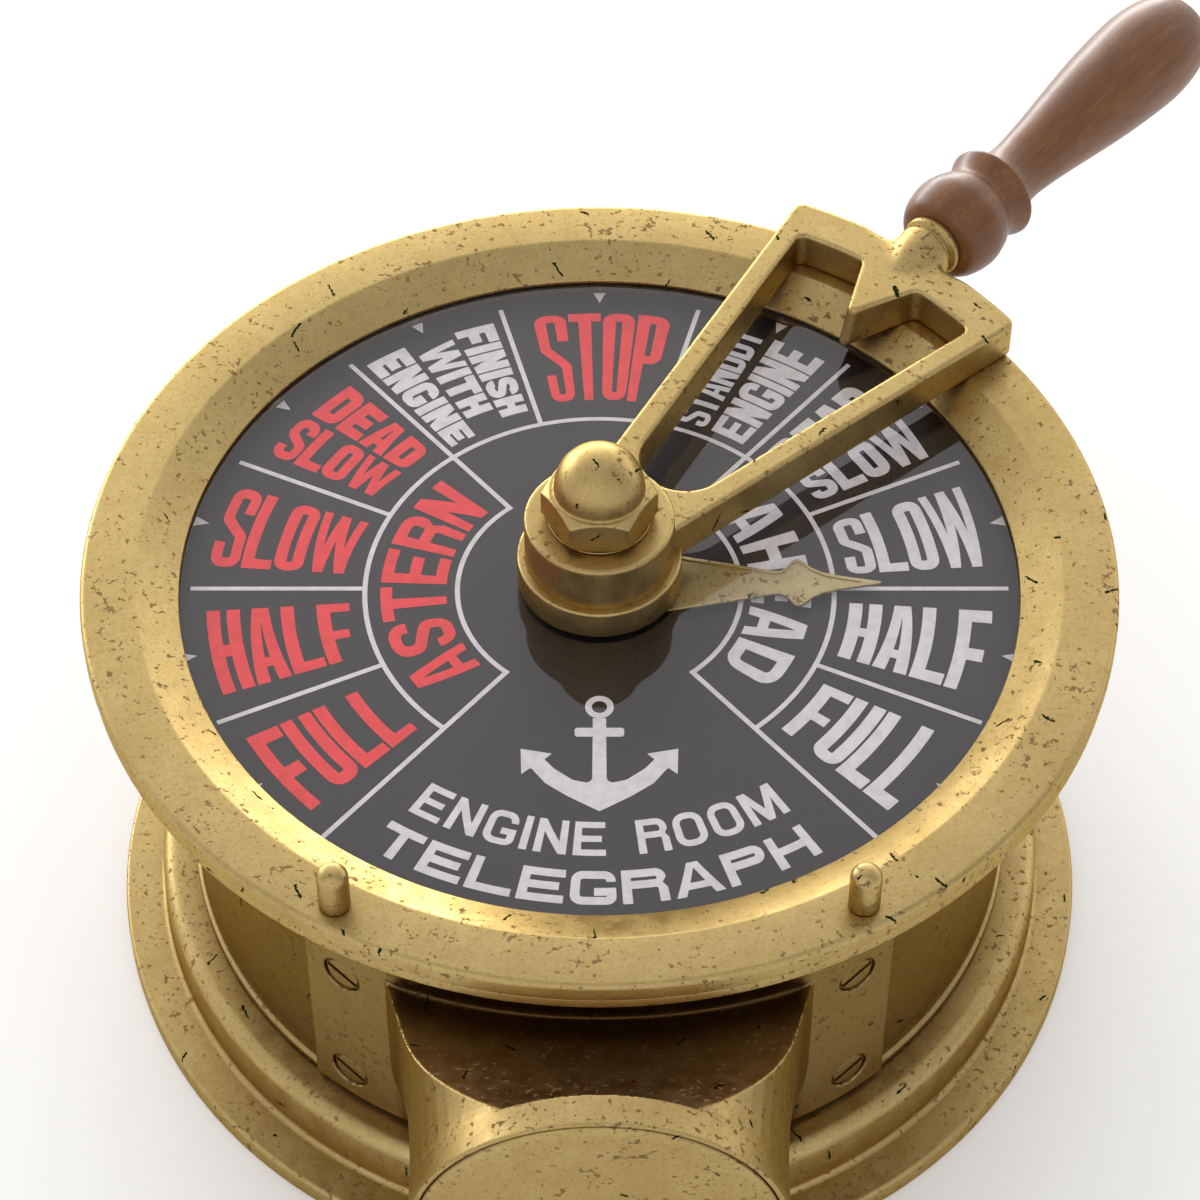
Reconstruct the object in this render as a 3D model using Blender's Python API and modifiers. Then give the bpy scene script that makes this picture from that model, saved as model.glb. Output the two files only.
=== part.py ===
"""Ship's engine order telegraph head, lying on its back with the dial facing up.

Millimetres in the constants, metres in the meshes. +Z is the dial's normal, +Y is its twelve o'clock
and +X is three o'clock. The origin is the centre of the rear face, on the shaft's axis.
"""

import math

import bmesh
import bpy
from mathutils import Matrix, Vector

MM = 0.001
GAP = 0.3  # between pieces that touch on the real object
RING_STEPS = 48  # facets round the large castings
SEAL_STEPS = 32  # facets round the thin rings and discs between them
ROUND_STEPS = 16  # facets round shafts, bushes and knobs
ROD_SIDES = 12

# ---- heights along the shaft's axis, from the rear face up
FLANGE_TOP = 9.3
STEP_TOP = 33.6
GASKET_THICK = 1.0
DRUM_FOOT = STEP_TOP + GASKET_THICK + 2 * GAP
DRUM_MIDDLE = 104.8  # centre of the neck
DIAL_TOP = 172.0
DIAL_THICK = 1.5
RIM_BOTTOM = 174.4
RIM_TOP = 179.4
BEZEL_TOP = 187.6
GLASS_TOP = 178.1
GLASS_THICK = 2.0
LEVER_BOTTOM = 192.1
LEVER_TOP = 203.5
HUB_TOP = 211.7
NUT_BOTTOM = 213.2
NUT_TOP = 226.9
DOME_CENTRE = 228.0

# ---- radii
FLANGE_R = 190.5
STEP_R = 174.0
DRUM_R = 158.8
DRUM_WALL = 6.0
RIM_R = 190.2
BEZEL_R = 190.7
BEZEL_CREASE_R = 170.3
BEZEL_LIP_R = 155.1
GLASS_R = 163.5
COLLAR_R = 30.4
HUB_R = 27.5
SHAFT_R = 8.0
SLEEVE_R = 11.0
DOME_R = 16.5
NUT_CORNER_R = 21.3
DRUM_IN = DRUM_R - DRUM_WALL
LEDGE_R = GLASS_R + 1.5
BUSH_BORE = SHAFT_R + 0.4
SLEEVE_BORE = SHAFT_R + 0.6

# ---- the order lever: a V of two legs and a cross-bar, drawn along +X and turned to its resting angle
LEVER_REST = 50.0
LEG_SLOPE = 0.195
LEG_OUTSIDE = 16.9  # where a leg's outer edge would cross the shaft's axis, from the centre line
LEG_INSIDE = 7.6
CROSSBAR_OUT_R = 193.0
CROSSBAR_IN_R = 175.8
WEB_CENTRE = 49.3
WEB_R = 16.7
TOOTH_TIP = 142.5
TOOTH_HALF = 13.2
GRIP_HEIGHT = 198.7
BOSS_START, BOSS_END = 180.0, 198.8
BOSS_R = 11.5

# ---- the dial's eleven orders, as angles from three o'clock, which the detent wheel's notches repeat
ORDER_ANGLES = (-37.5, -12.5, 12.5, 37.5, 62.5, 90.0, 117.5, 142.5, 167.5, 192.5, 217.5)

# ---- the neck: a casting strapped to the drum at six o'clock, ending in a round mouth
NECK_MOUTH = -233.7
NECK_SHOULDER = -221.9
NECK_R = 66.0
MOUTH_SIDES = 40
NECK_ROOT_Y = -142.0
CHAIN_WAY = (100.0, 43.0)  # width and height of the opening that the chains run through
CHAIN_WAY_Z = 99.8
SCOOP_R = 200.0
SCOOP_Y, SCOOP_Z = -95.4, 316.9
EAR_R = DRUM_R + 3.2
EAR_ANGLE = 41.1
EAR_BOTTOM, EAR_TOP = 36.2, 130.0
SCREW_ANGLE = 35.1
SCREW_HEIGHTS = (51.0, 112.0)
SLOT_SLOPE = 21.0  # the slots were left sloping down towards the neck

PIN_R = 5.5
PIN_CIRCLE = 180.3
PIN_ANGLES = (-60.0, -120.0)
PIN_TOP = 207.3

COVER_BOLT_CIRCLE = 152.4
COVER_BOLT_ANGLES = (45.0, 135.0, 225.0, 315.0)
BEZEL_SCREW_CIRCLE = 181.0
BEZEL_SCREW_ANGLES = (45.0, 135.0, 225.0, 315.0)

# ---- inside the drum
BRIDGE_BOTTOM, BRIDGE_TOP = 150.0, 160.0
BRIDGE_HALF_WIDTH = 22.0
BRIDGE_SCREW_X = 143.5
ORDER_WHEEL = (86.0, 92.0)
REPLY_WHEEL = (112.0, 118.0)
WHEEL_R = 45.0
WHEEL_TEETH = 18
STAR = (101.0, 107.0)
STAR_R = 22.0
DETENT_WHEEL = (60.0, 66.0)
DETENT_WHEEL_R = 40.0
ROLLER_R = 6.0
ROLLER_ANGLE = 160.0
DETENT_PIVOT = (-60.0, -35.0)
GONG_CENTRE = (0.0, 92.0)
GONG_R = 48.0
HAMMER_PIVOT = (66.0, 30.0)
HAMMER_HEAD = (54.0, 115.0)
HAMMER_HEAD_R = 7.0


# ---------------------------------------------------------------- helpers
def clear_scene():
    for obj in list(bpy.data.objects):
        bpy.data.objects.remove(obj, do_unlink=True)


def collection(name):
    made = bpy.data.collections.new(name)
    bpy.context.scene.collection.children.link(made)
    return made


def finish_material(name, colour, roughness, metallic):
    made = bpy.data.materials.new(name)
    made.use_nodes = True
    shader = made.node_tree.nodes["Principled BSDF"]
    shader.inputs["Base Color"].default_value = (*colour, 1.0)
    shader.inputs["Roughness"].default_value = roughness
    shader.inputs["Metallic"].default_value = metallic
    return made


clear_scene()
PARTS = collection("engine_order_telegraph")
CUTTERS = collection("cutters")
BRASS = finish_material("aged_brass", (0.60, 0.44, 0.20), 0.38, 1.0)
BRONZE = finish_material("bearing_bronze", (0.42, 0.24, 0.11), 0.45, 1.0)
STEEL = finish_material("bright_steel", (0.55, 0.55, 0.56), 0.35, 1.0)
ENAMEL = finish_material("black_enamel", (0.02, 0.02, 0.022), 0.4, 0.0)
RUBBER = finish_material("seal_rubber", (0.02, 0.02, 0.02), 0.8, 0.0)
GLASS = finish_material("window_glass", (0.9, 0.95, 0.95), 0.05, 0.0)
WOOD = finish_material("turned_wood", (0.25, 0.12, 0.06), 0.35, 0.0)


def polar(radius, degrees):
    return radius * math.cos(math.radians(degrees)), radius * math.sin(math.radians(degrees))


def arc(centre_x, centre_y, radius, start, end, steps):
    """Points along an arc, from the start angle to the end angle in degrees."""
    points = []
    for k in range(steps + 1):
        x, y = polar(radius, start + (end - start) * k / steps)
        points.append((centre_x + x, centre_y + y))
    return points


def place(name, mesh, finish, parent=None, group=PARTS):
    obj = bpy.data.objects.new(name, mesh)
    group.objects.link(obj)
    obj.parent = parent
    if finish:
        mesh.materials.append(finish)
    return obj


def empty(name, location=(0.0, 0.0, 0.0), turn=0.0, parent=None):
    made = bpy.data.objects.new(name, None)
    PARTS.objects.link(made)
    made.location = Vector(location) * MM
    made.rotation_euler.z = math.radians(turn)
    made.parent = parent
    return made


def turned(name, profile, finish, steps=RING_STEPS, parent=None):
    """A turned piece from (radius, height) points down its side, closed unless both ends are on the axis."""
    mesh = bpy.data.meshes.new(name)
    verts = [(radius * MM, 0.0, height * MM) for radius, height in profile]
    edges = [(k, k + 1) for k in range(len(verts) - 1)]
    if profile[0][0] > 0 or profile[-1][0] > 0:
        edges.append((len(verts) - 1, 0))
    mesh.from_pydata(verts, edges, [])
    obj = place(name, mesh, finish, parent)
    screw = obj.modifiers.new("turn", "SCREW")
    screw.steps = screw.render_steps = steps
    screw.use_merge_vertices = True
    screw.merge_threshold = 0.00001
    screw.use_smooth_shade = False
    return obj


def washer(name, inner, outer, bottom, top, finish, steps=RING_STEPS, parent=None):
    profile = [(outer, top), (outer, bottom), (inner, bottom), (inner, top)]
    return turned(name, profile, finish, steps, parent)


def plate(name, outlines, bottom, top, finish, parent=None):
    """A flat outline with its holes, drawn as a filled 2D curve and made a welded mesh."""
    curve = bpy.data.curves.new(name, "CURVE")
    curve.dimensions = "2D"
    curve.fill_mode = "BOTH"
    curve.extrude = (top - bottom) / 2 * MM
    for outline in outlines:
        spline = curve.splines.new("POLY")
        spline.points.add(len(outline) - 1)
        for point, (x, y) in zip(spline.points, outline):
            point.co = (x * MM, y * MM, 0.0, 1.0)
        spline.use_cyclic_u = True
    drawn = bpy.data.objects.new(name + "_outline", curve)
    bpy.context.scene.collection.objects.link(drawn)
    depsgraph = bpy.context.evaluated_depsgraph_get()
    mesh = bpy.data.meshes.new_from_object(drawn.evaluated_get(depsgraph))
    bpy.data.objects.remove(drawn)
    bm = bmesh.new()
    bm.from_mesh(mesh)
    bmesh.ops.remove_doubles(bm, verts=bm.verts, dist=0.000001)
    bmesh.ops.translate(bm, verts=bm.verts, vec=(0, 0, (top + bottom) / 2 * MM))
    bmesh.ops.recalc_face_normals(bm, faces=bm.faces)
    bm.to_mesh(mesh)
    bm.free()
    mesh.name = name
    mesh.materials.clear()
    return place(name, mesh, finish, parent)


def add_rod(bm, radius, start, end, sides=ROD_SIDES, end_radius=None):
    """A round bar or cone from start to end, in millimetres."""
    start, end = Vector(start), Vector(end)
    along = end - start
    turn = along.to_track_quat("Z", "Y").to_matrix().to_4x4()
    where = Matrix.Translation((start + end) / 2 * MM) @ turn
    bmesh.ops.create_cone(
        bm,
        cap_ends=True,
        segments=sides,
        radius1=radius * MM,
        radius2=(radius if end_radius is None else end_radius) * MM,
        depth=along.length * MM,
        matrix=where,
    )


def add_box(bm, size, centre, turn=0.0):
    where = Matrix.Translation(Vector(centre) * MM) @ Matrix.Rotation(math.radians(turn), 4, "Z")
    bmesh.ops.create_cube(bm, size=1.0, matrix=where @ Matrix.Diagonal((*(Vector(size) * MM), 1.0)))


def solid(name, shapes, finish, parent=None, group=PARTS):
    """One object from add_ calls: each shape is (function, its arguments)."""
    bm = bmesh.new()
    for add, *arguments in shapes:
        add(bm, *arguments)
    mesh = bpy.data.meshes.new(name)
    bm.to_mesh(mesh)
    bm.free()
    return place(name, mesh, finish, parent, group)


def combine(obj, operation, tool_name, shapes, parent=None):
    tool = solid(tool_name, shapes, None, parent, CUTTERS)
    combine_with(obj, operation, tool)


def combine_with(obj, operation, tool):
    tool.hide_render = True
    tool.display_type = "WIRE"
    boolean = obj.modifiers.new(operation.lower(), "BOOLEAN")
    boolean.operation = operation
    boolean.solver = "EXACT"
    boolean.object = tool


def upright_rods(radius, bottom, top, circle, angles, sides=ROD_SIDES):
    rods = []
    for angle in angles:
        x, y = polar(circle, angle)
        rods.append((add_rod, radius, (x, y, bottom), (x, y, top), sides))
    return rods


# ---------------------------------------------------------------- casing
def back_cover():
    profile = [
        (0, 8), (14.3, 8), (14.3, 30), (22, 30), (22, 6), (150, 6), (150, STEP_TOP),
        (STEP_R - 4, STEP_TOP), (STEP_R, STEP_TOP - 4), (STEP_R, FLANGE_TOP), (FLANGE_R - 1, FLANGE_TOP),
        (FLANGE_R, FLANGE_TOP - 1), (FLANGE_R, 0), (0, 0),
    ]
    cover = turned("back_cover", profile, BRASS)
    holes = upright_rods(2.9, 3.0, 40.0, COVER_BOLT_CIRCLE, COVER_BOLT_ANGLES)
    combine(cover, "DIFFERENCE", "cover_bolt_holes", holes)
    heads = upright_rods(5.4, -1.0, 4.6, COVER_BOLT_CIRCLE, COVER_BOLT_ANGLES)
    combine(cover, "DIFFERENCE", "cover_bolt_recesses", heads)


def ring_of(name, profile, finish, circle, angles, steps=12):
    """The same turned piece at each angle round a circle, one object each."""
    for number, angle in enumerate(angles, start=1):
        piece = turned(f"{name}_{number}", profile, finish, steps)
        piece.location = Vector((*polar(circle, angle), 0)) * MM


def cover_bolts():
    profile = [(0, 50), (2.5, 50), (2.5, 4.2), (5, 4.2), (5, 0.6), (0, 0.6)]
    ring_of("cover_bolt", profile, STEEL, COVER_BOLT_CIRCLE, COVER_BOLT_ANGLES)


def cover_gasket():
    bottom = STEP_TOP + GAP
    gasket = washer("cover_gasket", 147.5, 158.2, bottom, bottom + GASKET_THICK, RUBBER, SEAL_STEPS)
    holes = upright_rods(2.9, STEP_TOP - 2, DRUM_FOOT + 2, COVER_BOLT_CIRCLE, COVER_BOLT_ANGLES)
    combine(gasket, "DIFFERENCE", "gasket_bolt_holes", holes)


def neck_direction(angle):
    """Unit direction from the drum's axis, the angle counted from six o'clock."""
    x, y = polar(1.0, angle - 90.0)
    return Vector((x, y, 0.0))


def saddle_screw_rods(radius, inner, outer, end_radius=None):
    rods = []
    for side in (-1, 1):
        for height in SCREW_HEIGHTS:
            out = neck_direction(side * SCREW_ANGLE)
            up = Vector((0, 0, height))
            rods.append((add_rod, radius, out * inner + up, out * outer + up, ROD_SIDES, end_radius))
    return rods


def drum_casing():
    foot_in = 146.0
    profile = [
        (LEDGE_R, RIM_TOP), (RIM_R, RIM_TOP), (RIM_R, RIM_BOTTOM), (178, RIM_BOTTOM), (170, 170),
        (162, 160), (DRUM_R, 146), (DRUM_R, DRUM_FOOT), (foot_in, DRUM_FOOT), (foot_in, 55),
        (DRUM_IN, 61), (DRUM_IN, DIAL_TOP - DIAL_THICK - GAP), (LEDGE_R, DIAL_TOP - DIAL_THICK - GAP),
    ]
    drum = turned("drum_casing", profile, BRASS)
    lugs = []
    for side in (-1, 1):
        lugs.append((add_box, (24, 40, 16), (side * 144.5, 0, BRIDGE_BOTTOM - GAP - 8)))
    combine(drum, "UNION", "bridge_lugs", lugs)
    cuts = upright_rods(2.8, DRUM_FOOT - 4, 52, COVER_BOLT_CIRCLE, COVER_BOLT_ANGLES)
    cuts += upright_rods(2.3, RIM_BOTTOM - 4, RIM_TOP + 4, BEZEL_SCREW_CIRCLE, BEZEL_SCREW_ANGLES, 12)
    cuts += [
        (add_rod, 3.3, (x, 0, BRIDGE_BOTTOM - 12), (x, 0, BRIDGE_TOP))
        for x in (-BRIDGE_SCREW_X, BRIDGE_SCREW_X)
    ]
    cuts += saddle_screw_rods(4.3, DRUM_IN - 6, DRUM_R + 6)
    cuts.append((add_box, (CHAIN_WAY[0], 40, CHAIN_WAY[1]), (0, -150, CHAIN_WAY_Z)))
    combine(drum, "DIFFERENCE", "drum_holes", cuts)


def dial_and_glass():
    dial_bottom = DIAL_TOP - DIAL_THICK
    washer("dial_plate", 13.0, GLASS_R, dial_bottom, DIAL_TOP, ENAMEL, SEAL_STEPS)
    spacer_bottom = DIAL_TOP + GAP
    washer("dial_spacer", 157.5, GLASS_R, spacer_bottom, spacer_bottom + 2.0, BRASS, SEAL_STEPS)
    gasket_bottom = spacer_bottom + 2.0 + GAP
    glass_bottom = GLASS_TOP - GLASS_THICK
    washer("glass_gasket", 157.5, GLASS_R, gasket_bottom, glass_bottom - GAP, RUBBER, SEAL_STEPS)
    washer("glass_pane", 10.0, GLASS_R, glass_bottom, GLASS_TOP, GLASS, SEAL_STEPS)
    profile = [
        (15, 179.2), (15, GLASS_TOP + GAP), (9.6, GLASS_TOP + GAP), (9.6, glass_bottom + 0.2),
        (BUSH_BORE, glass_bottom + 0.2), (BUSH_BORE, 179.2),
    ]
    turned("glass_bush", profile, BRONZE, ROUND_STEPS)


def front_bezel():
    seat = RIM_TOP + GAP
    lip = GLASS_TOP + GAP
    profile = [
        (BEZEL_CREASE_R, BEZEL_TOP), (BEZEL_R - 1.2, BEZEL_TOP), (BEZEL_R, BEZEL_TOP - 1.2),
        (BEZEL_R, seat), (LEDGE_R - 0.8, seat), (LEDGE_R - 0.8, lip), (BEZEL_LIP_R, lip),
        (BEZEL_LIP_R, 179.8),
    ]
    bezel = turned("front_bezel", profile, BRASS)
    holes = upright_rods(2.3, 170, 184.6, BEZEL_SCREW_CIRCLE, BEZEL_SCREW_ANGLES, 12)
    holes += upright_rods(3.3, 181.6, 190, PIN_CIRCLE, PIN_ANGLES, 12)
    combine(bezel, "DIFFERENCE", "bezel_holes", holes)
    under = RIM_BOTTOM - GAP
    profile = [(0, 184), (2.0, 184), (2.0, under), (3.8, under), (3.8, 171), (0, 171)]
    ring_of("bezel_screw", profile, STEEL, BEZEL_SCREW_CIRCLE, BEZEL_SCREW_ANGLES)


def stop_pins():
    """Two round-headed pins that stop the lever past FULL ahead and FULL astern."""
    seat = BEZEL_TOP + GAP
    profile = [
        (0, PIN_TOP), (2.2, PIN_TOP - 0.4), (4.2, PIN_TOP - 1.7), (PIN_R, PIN_TOP - 4.5), (PIN_R, seat),
        (3.0, seat), (3.0, 182.2), (0, 182.2),
    ]
    ring_of("stop_pin", profile, BRASS, PIN_CIRCLE, PIN_ANGLES, ROD_SIDES)


# ---------------------------------------------------------------- neck
def neck_section(y, count=32):
    """One closed section of the neck: a circle at its mouth that squares up and widens towards the drum."""
    root = min(1.0, max(0.0, (y - NECK_SHOULDER) / (NECK_ROOT_Y - NECK_SHOULDER)))
    half_width = NECK_R - 0.2 + 10.8 * root**2.2
    half_height = NECK_R - 0.2 + 3.0 * root**2
    power = 2.0 / (2.0 + 4.0 * root**2)
    points = []
    for k in range(count):
        across, up = polar(1.0, 360.0 * k / count)
        x = math.copysign(abs(across) ** power, across) * half_width
        z = math.copysign(abs(up) ** power, up) * half_height
        points.append(Vector((x, y, DRUM_MIDDLE + z)) * MM)
    return points


def add_neck_loft(bm):
    """The neck's outer form, lofted between unlike sections from inside the drum wall to the mouth."""
    stations = [NECK_ROOT_Y, -152, -160, -168, -178, -190, -205, NECK_SHOULDER - 1.0]
    rings = [[bm.verts.new(point) for point in neck_section(y)] for y in stations]
    for ring, following in zip(rings, rings[1:]):
        for k in range(len(ring)):
            after = (k + 1) % len(ring)
            bm.faces.new((ring[k], ring[after], following[after], following[k]))
    bm.faces.new(rings[0])
    bm.faces.new(rings[-1])
    bmesh.ops.recalc_face_normals(bm, faces=bm.faces)


def ear_band(angle, inner, outer, bottom, top):
    """A strip of the drum's circle, centred on six o'clock."""
    outline = arc(0, 0, outer, -90 - angle, -90 + angle, 16)
    outline += arc(0, 0, inner, -90 + angle, -90 - angle, 16)
    return plate("neck_saddle", [outline], bottom, top, BRASS)


def neck_saddle():
    saddle = ear_band(EAR_ANGLE, DRUM_R + GAP, EAR_R, EAR_BOTTOM, EAR_TOP)
    body = solid("neck_body", [(add_neck_loft,)], None, None, CUTTERS)
    drum_space = washer("drum_space", 90, DRUM_R + GAP + 0.05, 0, 200, None, 64)
    scoop = solid(
        "neck_scoop",
        [(add_rod, SCOOP_R, (-120, SCOOP_Y, SCOOP_Z), (120, SCOOP_Y, SCOOP_Z), 80)],
        None, None, CUTTERS,
    )
    CUTTERS.objects.link(drum_space)
    PARTS.objects.unlink(drum_space)
    combine_with(body, "DIFFERENCE", drum_space)
    combine_with(body, "DIFFERENCE", scoop)
    combine_with(saddle, "UNION", body)
    body.hide_render = True
    mouth = [(add_rod, NECK_R, (0, NECK_SHOULDER, DRUM_MIDDLE), (0, NECK_MOUTH, DRUM_MIDDLE), MOUTH_SIDES)]
    combine(saddle, "UNION", "neck_mouth", mouth)
    cuts = [
        (add_box, (CHAIN_WAY[0], 107, CHAIN_WAY[1]), (0, -173.5, CHAIN_WAY_Z)),
        (add_rod, 64.1, (0, -226.0, DRUM_MIDDLE), (0, -240.0, DRUM_MIDDLE), MOUTH_SIDES),
    ]
    cuts += saddle_screw_rods(4.4, DRUM_R - 3, EAR_R - 1.2)
    combine(saddle, "DIFFERENCE", "neck_bores", cuts)
    recesses = saddle_screw_rods(4.4, EAR_R - 3.2, EAR_R + 1.0, 9.5)
    combine(saddle, "DIFFERENCE", "ear_recesses", recesses)


def neck_end():
    gasket = washer("cap_gasket", 57.5, 63.4, 0.0, 1.0, RUBBER, MOUTH_SIDES)
    gasket.location = Vector((0, -226.35, DRUM_MIDDLE)) * MM
    gasket.rotation_euler.x = math.radians(90)
    profile = [(0, 8.2), (45, 7.6), (62.4, 6.8), (63.6, 5.6), (63.6, 0.0), (0, 0.0)]
    cap = turned("neck_cap", profile, BRASS, MOUTH_SIDES)
    cap.location = Vector((0, -227.6, DRUM_MIDDLE)) * MM
    cap.rotation_euler.x = math.radians(90)


def saddle_screws():
    """Countersunk screws, drawn along +Z from the drum's axis and laid out towards the ears."""
    top = EAR_R - 0.5
    profile = [(0, top), (7.0, top), (4.0, top - 2.2), (3.8, top - 2.2)]
    profile += [(3.8, DRUM_IN - 4), (0, DRUM_IN - 4)]
    number = 0
    for side in (-1, 1):
        for height in SCREW_HEIGHTS:
            number += 1
            where = empty(f"saddle_screw_axis_{number}", (0, 0, height))
            where.rotation_euler = neck_direction(side * SCREW_ANGLE).to_track_quat("Z", "Y").to_euler()
            screw = turned(f"saddle_screw_{number}", profile, BRASS, ROD_SIDES, where)
            slot = [(add_box, (18, 1.4, 2.6), (0, 0, top), side * SLOT_SLOPE)]
            combine(screw, "DIFFERENCE", f"screw_slot_{number}", slot, where)


# ---------------------------------------------------------------- fixed pieces inside the drum
def bridge_and_bushes():
    x = math.sqrt((DRUM_IN - 1.5) ** 2 - BRIDGE_HALF_WIDTH**2)
    half = BRIDGE_HALF_WIDTH
    waist = 14.0
    outline = [(x, -half), (x, half), (120, half), (100, waist), (40, waist), (30, half)]
    outline += [(-px, py) for px, py in reversed(outline)]
    lower = [(px, -py) for px, py in reversed(outline[2:-2])]
    bore = arc(0, 0, 17.3, 0, 345, 23)
    bolts = [arc(side * BRIDGE_SCREW_X, 0, 3.3, 0, 330, 11) for side in (-1, 1)]
    plate("bearing_bridge", [outline + lower, bore, *bolts], BRIDGE_BOTTOM, BRIDGE_TOP, BRASS)
    seat = BRIDGE_TOP + GAP
    foot = BRIDGE_BOTTOM - 10
    profile = [(0, 164), (5.5, 164), (5.5, seat), (2.9, seat), (2.9, foot), (0, foot)]
    ring_of("bridge_screw", profile, STEEL, BRIDGE_SCREW_X, (0.0, 180.0))
    sleeve_bore = SLEEVE_R + 0.4
    front = [
        (21, 163.0), (21, BRIDGE_TOP + GAP), (17, BRIDGE_TOP + GAP), (17, 146.5), (sleeve_bore, 146.5),
        (sleeve_bore, 163.0),
    ]
    turned("front_bush", front, BRONZE, ROUND_STEPS)
    rear = [(19, 33), (19, 30.3), (14, 30.3), (14, 8.6), (BUSH_BORE, 8.6), (BUSH_BORE, 33)]
    turned("rear_bush", rear, BRONZE, ROUND_STEPS)


def hexagon(corner_radius, turn=0.0):
    return [polar(corner_radius, 60.0 * k + turn) for k in range(6)]


def gong_set():
    where = empty("gong_axis", (*GONG_CENTRE, 0))
    post = [(0, 68), (4, 68), (4, 57), (9, 57), (9, 10), (14, 10), (14, 6.3), (0, 6.3)]
    turned("gong_post", post, STEEL, ROUND_STEPS, where)
    bell = [
        (4.4, 60), (24, 60), (42, 52), (GONG_R, 40), (GONG_R - 2.6, 40), (39.8, 50.6), (23, 57.3),
        (4.4, 57.3),
    ]
    turned("gong", bell, BRONZE, 24, where)
    bore = arc(0, 0, 4.3, 0, 330, 11)
    plate("gong_nut", [hexagon(8.0), bore], 60.4, 66.0, STEEL, where)


def coil_spring(name, radius, wire, bottom, turns, pitch, parent):
    """A close-wound torsion spring round a pivot post."""
    curve = bpy.data.curves.new(name, "CURVE")
    curve.dimensions = "3D"
    curve.bevel_depth = wire / 2 * MM
    curve.bevel_resolution = 1
    curve.use_fill_caps = True
    per_turn = 10
    count = int(turns * per_turn) + 1
    spline = curve.splines.new("POLY")
    spline.points.add(count - 1)
    for k, point in enumerate(spline.points):
        x, y = polar(radius, 360.0 * k / per_turn)
        point.co = (x * MM, y * MM, (bottom + pitch * k / per_turn) * MM, 1.0)
    obj = bpy.data.objects.new(name, curve)
    PARTS.objects.link(obj)
    obj.parent = parent
    curve.materials.append(STEEL)


def pivot_posts():
    hammer = empty("hammer_post_axis", (*HAMMER_PIVOT, 0))
    post = [(0, 114), (4, 114), (4, 46), (9, 46), (9, 10), (13, 10), (13, 6.3), (0, 6.3)]
    turned("hammer_post", post, STEEL, 16, hammer)
    coil_spring("hammer_spring", 8.2, 1.4, 82.0, 3, 2.4, hammer)
    detent = empty("detent_post_axis", (*DETENT_PIVOT, 0))
    post = [(0, 82), (4, 82), (4, 60), (9, 60), (9, 10), (13, 10), (13, 6.3), (0, 6.3)]
    turned("detent_post", post, STEEL, 16, detent)


# ---------------------------------------------------------------- order lever and what turns with it
def leg_point(offset, radius, side):
    """Where a leg's edge, offset from the centre line at the shaft, meets a circle round the shaft."""
    along = 1 + LEG_SLOPE**2
    half = offset * LEG_SLOPE
    x = (-half + math.sqrt(half**2 - along * (offset**2 - radius**2))) / along
    return x, side * (offset + LEG_SLOPE * x)


def lever_outline():
    hub_x, hub_y = leg_point(LEG_OUTSIDE, HUB_R - 1.0, 1)
    corner_x, corner_y = leg_point(LEG_OUTSIDE, CROSSBAR_OUT_R, 1)
    spread = math.degrees(math.atan2(corner_y, corner_x))
    around_hub = math.degrees(math.atan2(hub_y, hub_x))
    outline = arc(0, 0, CROSSBAR_OUT_R, -spread, spread, 10)
    outline += arc(0, 0, HUB_R - 1.0, around_hub, 360 - around_hub, 16)
    return outline


def lever_window():
    """The opening between the legs, round at the hub, with a tooth that points back from the cross-bar."""
    corner_x, corner_y = leg_point(LEG_INSIDE, CROSSBAR_IN_R, 1)
    tooth_x = math.sqrt(CROSSBAR_IN_R**2 - TOOTH_HALF**2)
    corner_angle = math.degrees(math.atan2(corner_y, corner_x))
    tooth_angle = math.degrees(math.atan2(TOOTH_HALF, tooth_x))
    upper = arc(0, 0, CROSSBAR_IN_R, corner_angle, tooth_angle, 3)
    lower = arc(0, 0, CROSSBAR_IN_R, -tooth_angle, -corner_angle, 3)
    round_end = arc(WEB_CENTRE, 0, WEB_R, -101, -259, 10)
    return upper + [(TOOTH_TIP, 0)] + lower + round_end


def lever_frame(lever):
    frame = plate(
        "lever_frame", [lever_outline(), lever_window()], LEVER_BOTTOM, LEVER_TOP, BRASS, lever
    )
    boss = (add_rod, 4.5, (BOSS_START, 0, GRIP_HEIGHT), (BOSS_END, 0, GRIP_HEIGHT), ROUND_STEPS, BOSS_R)
    hub = (add_rod, HUB_R, (0, 0, LEVER_BOTTOM + 0.01), (0, 0, HUB_TOP), SEAL_STEPS)
    combine(frame, "UNION", "lever_hub", [hub], lever)
    combine(frame, "UNION", "handle_boss", [boss], lever)
    bore = (add_rod, SHAFT_R + GAP, (0, 0, LEVER_BOTTOM - 5), (0, 0, HUB_TOP + 5), ROUND_STEPS)
    tang = (add_rod, 4.3, (184.0, 0, GRIP_HEIGHT), (205.0, 0, GRIP_HEIGHT))
    keyway = (add_box, (4.6, 5.6, 30), (10.0, 0, LEVER_BOTTOM + 10))
    combine(frame, "DIFFERENCE", "lever_bores", [bore, tang], lever)
    combine(frame, "DIFFERENCE", "hub_keyway", [keyway], lever)


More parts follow.
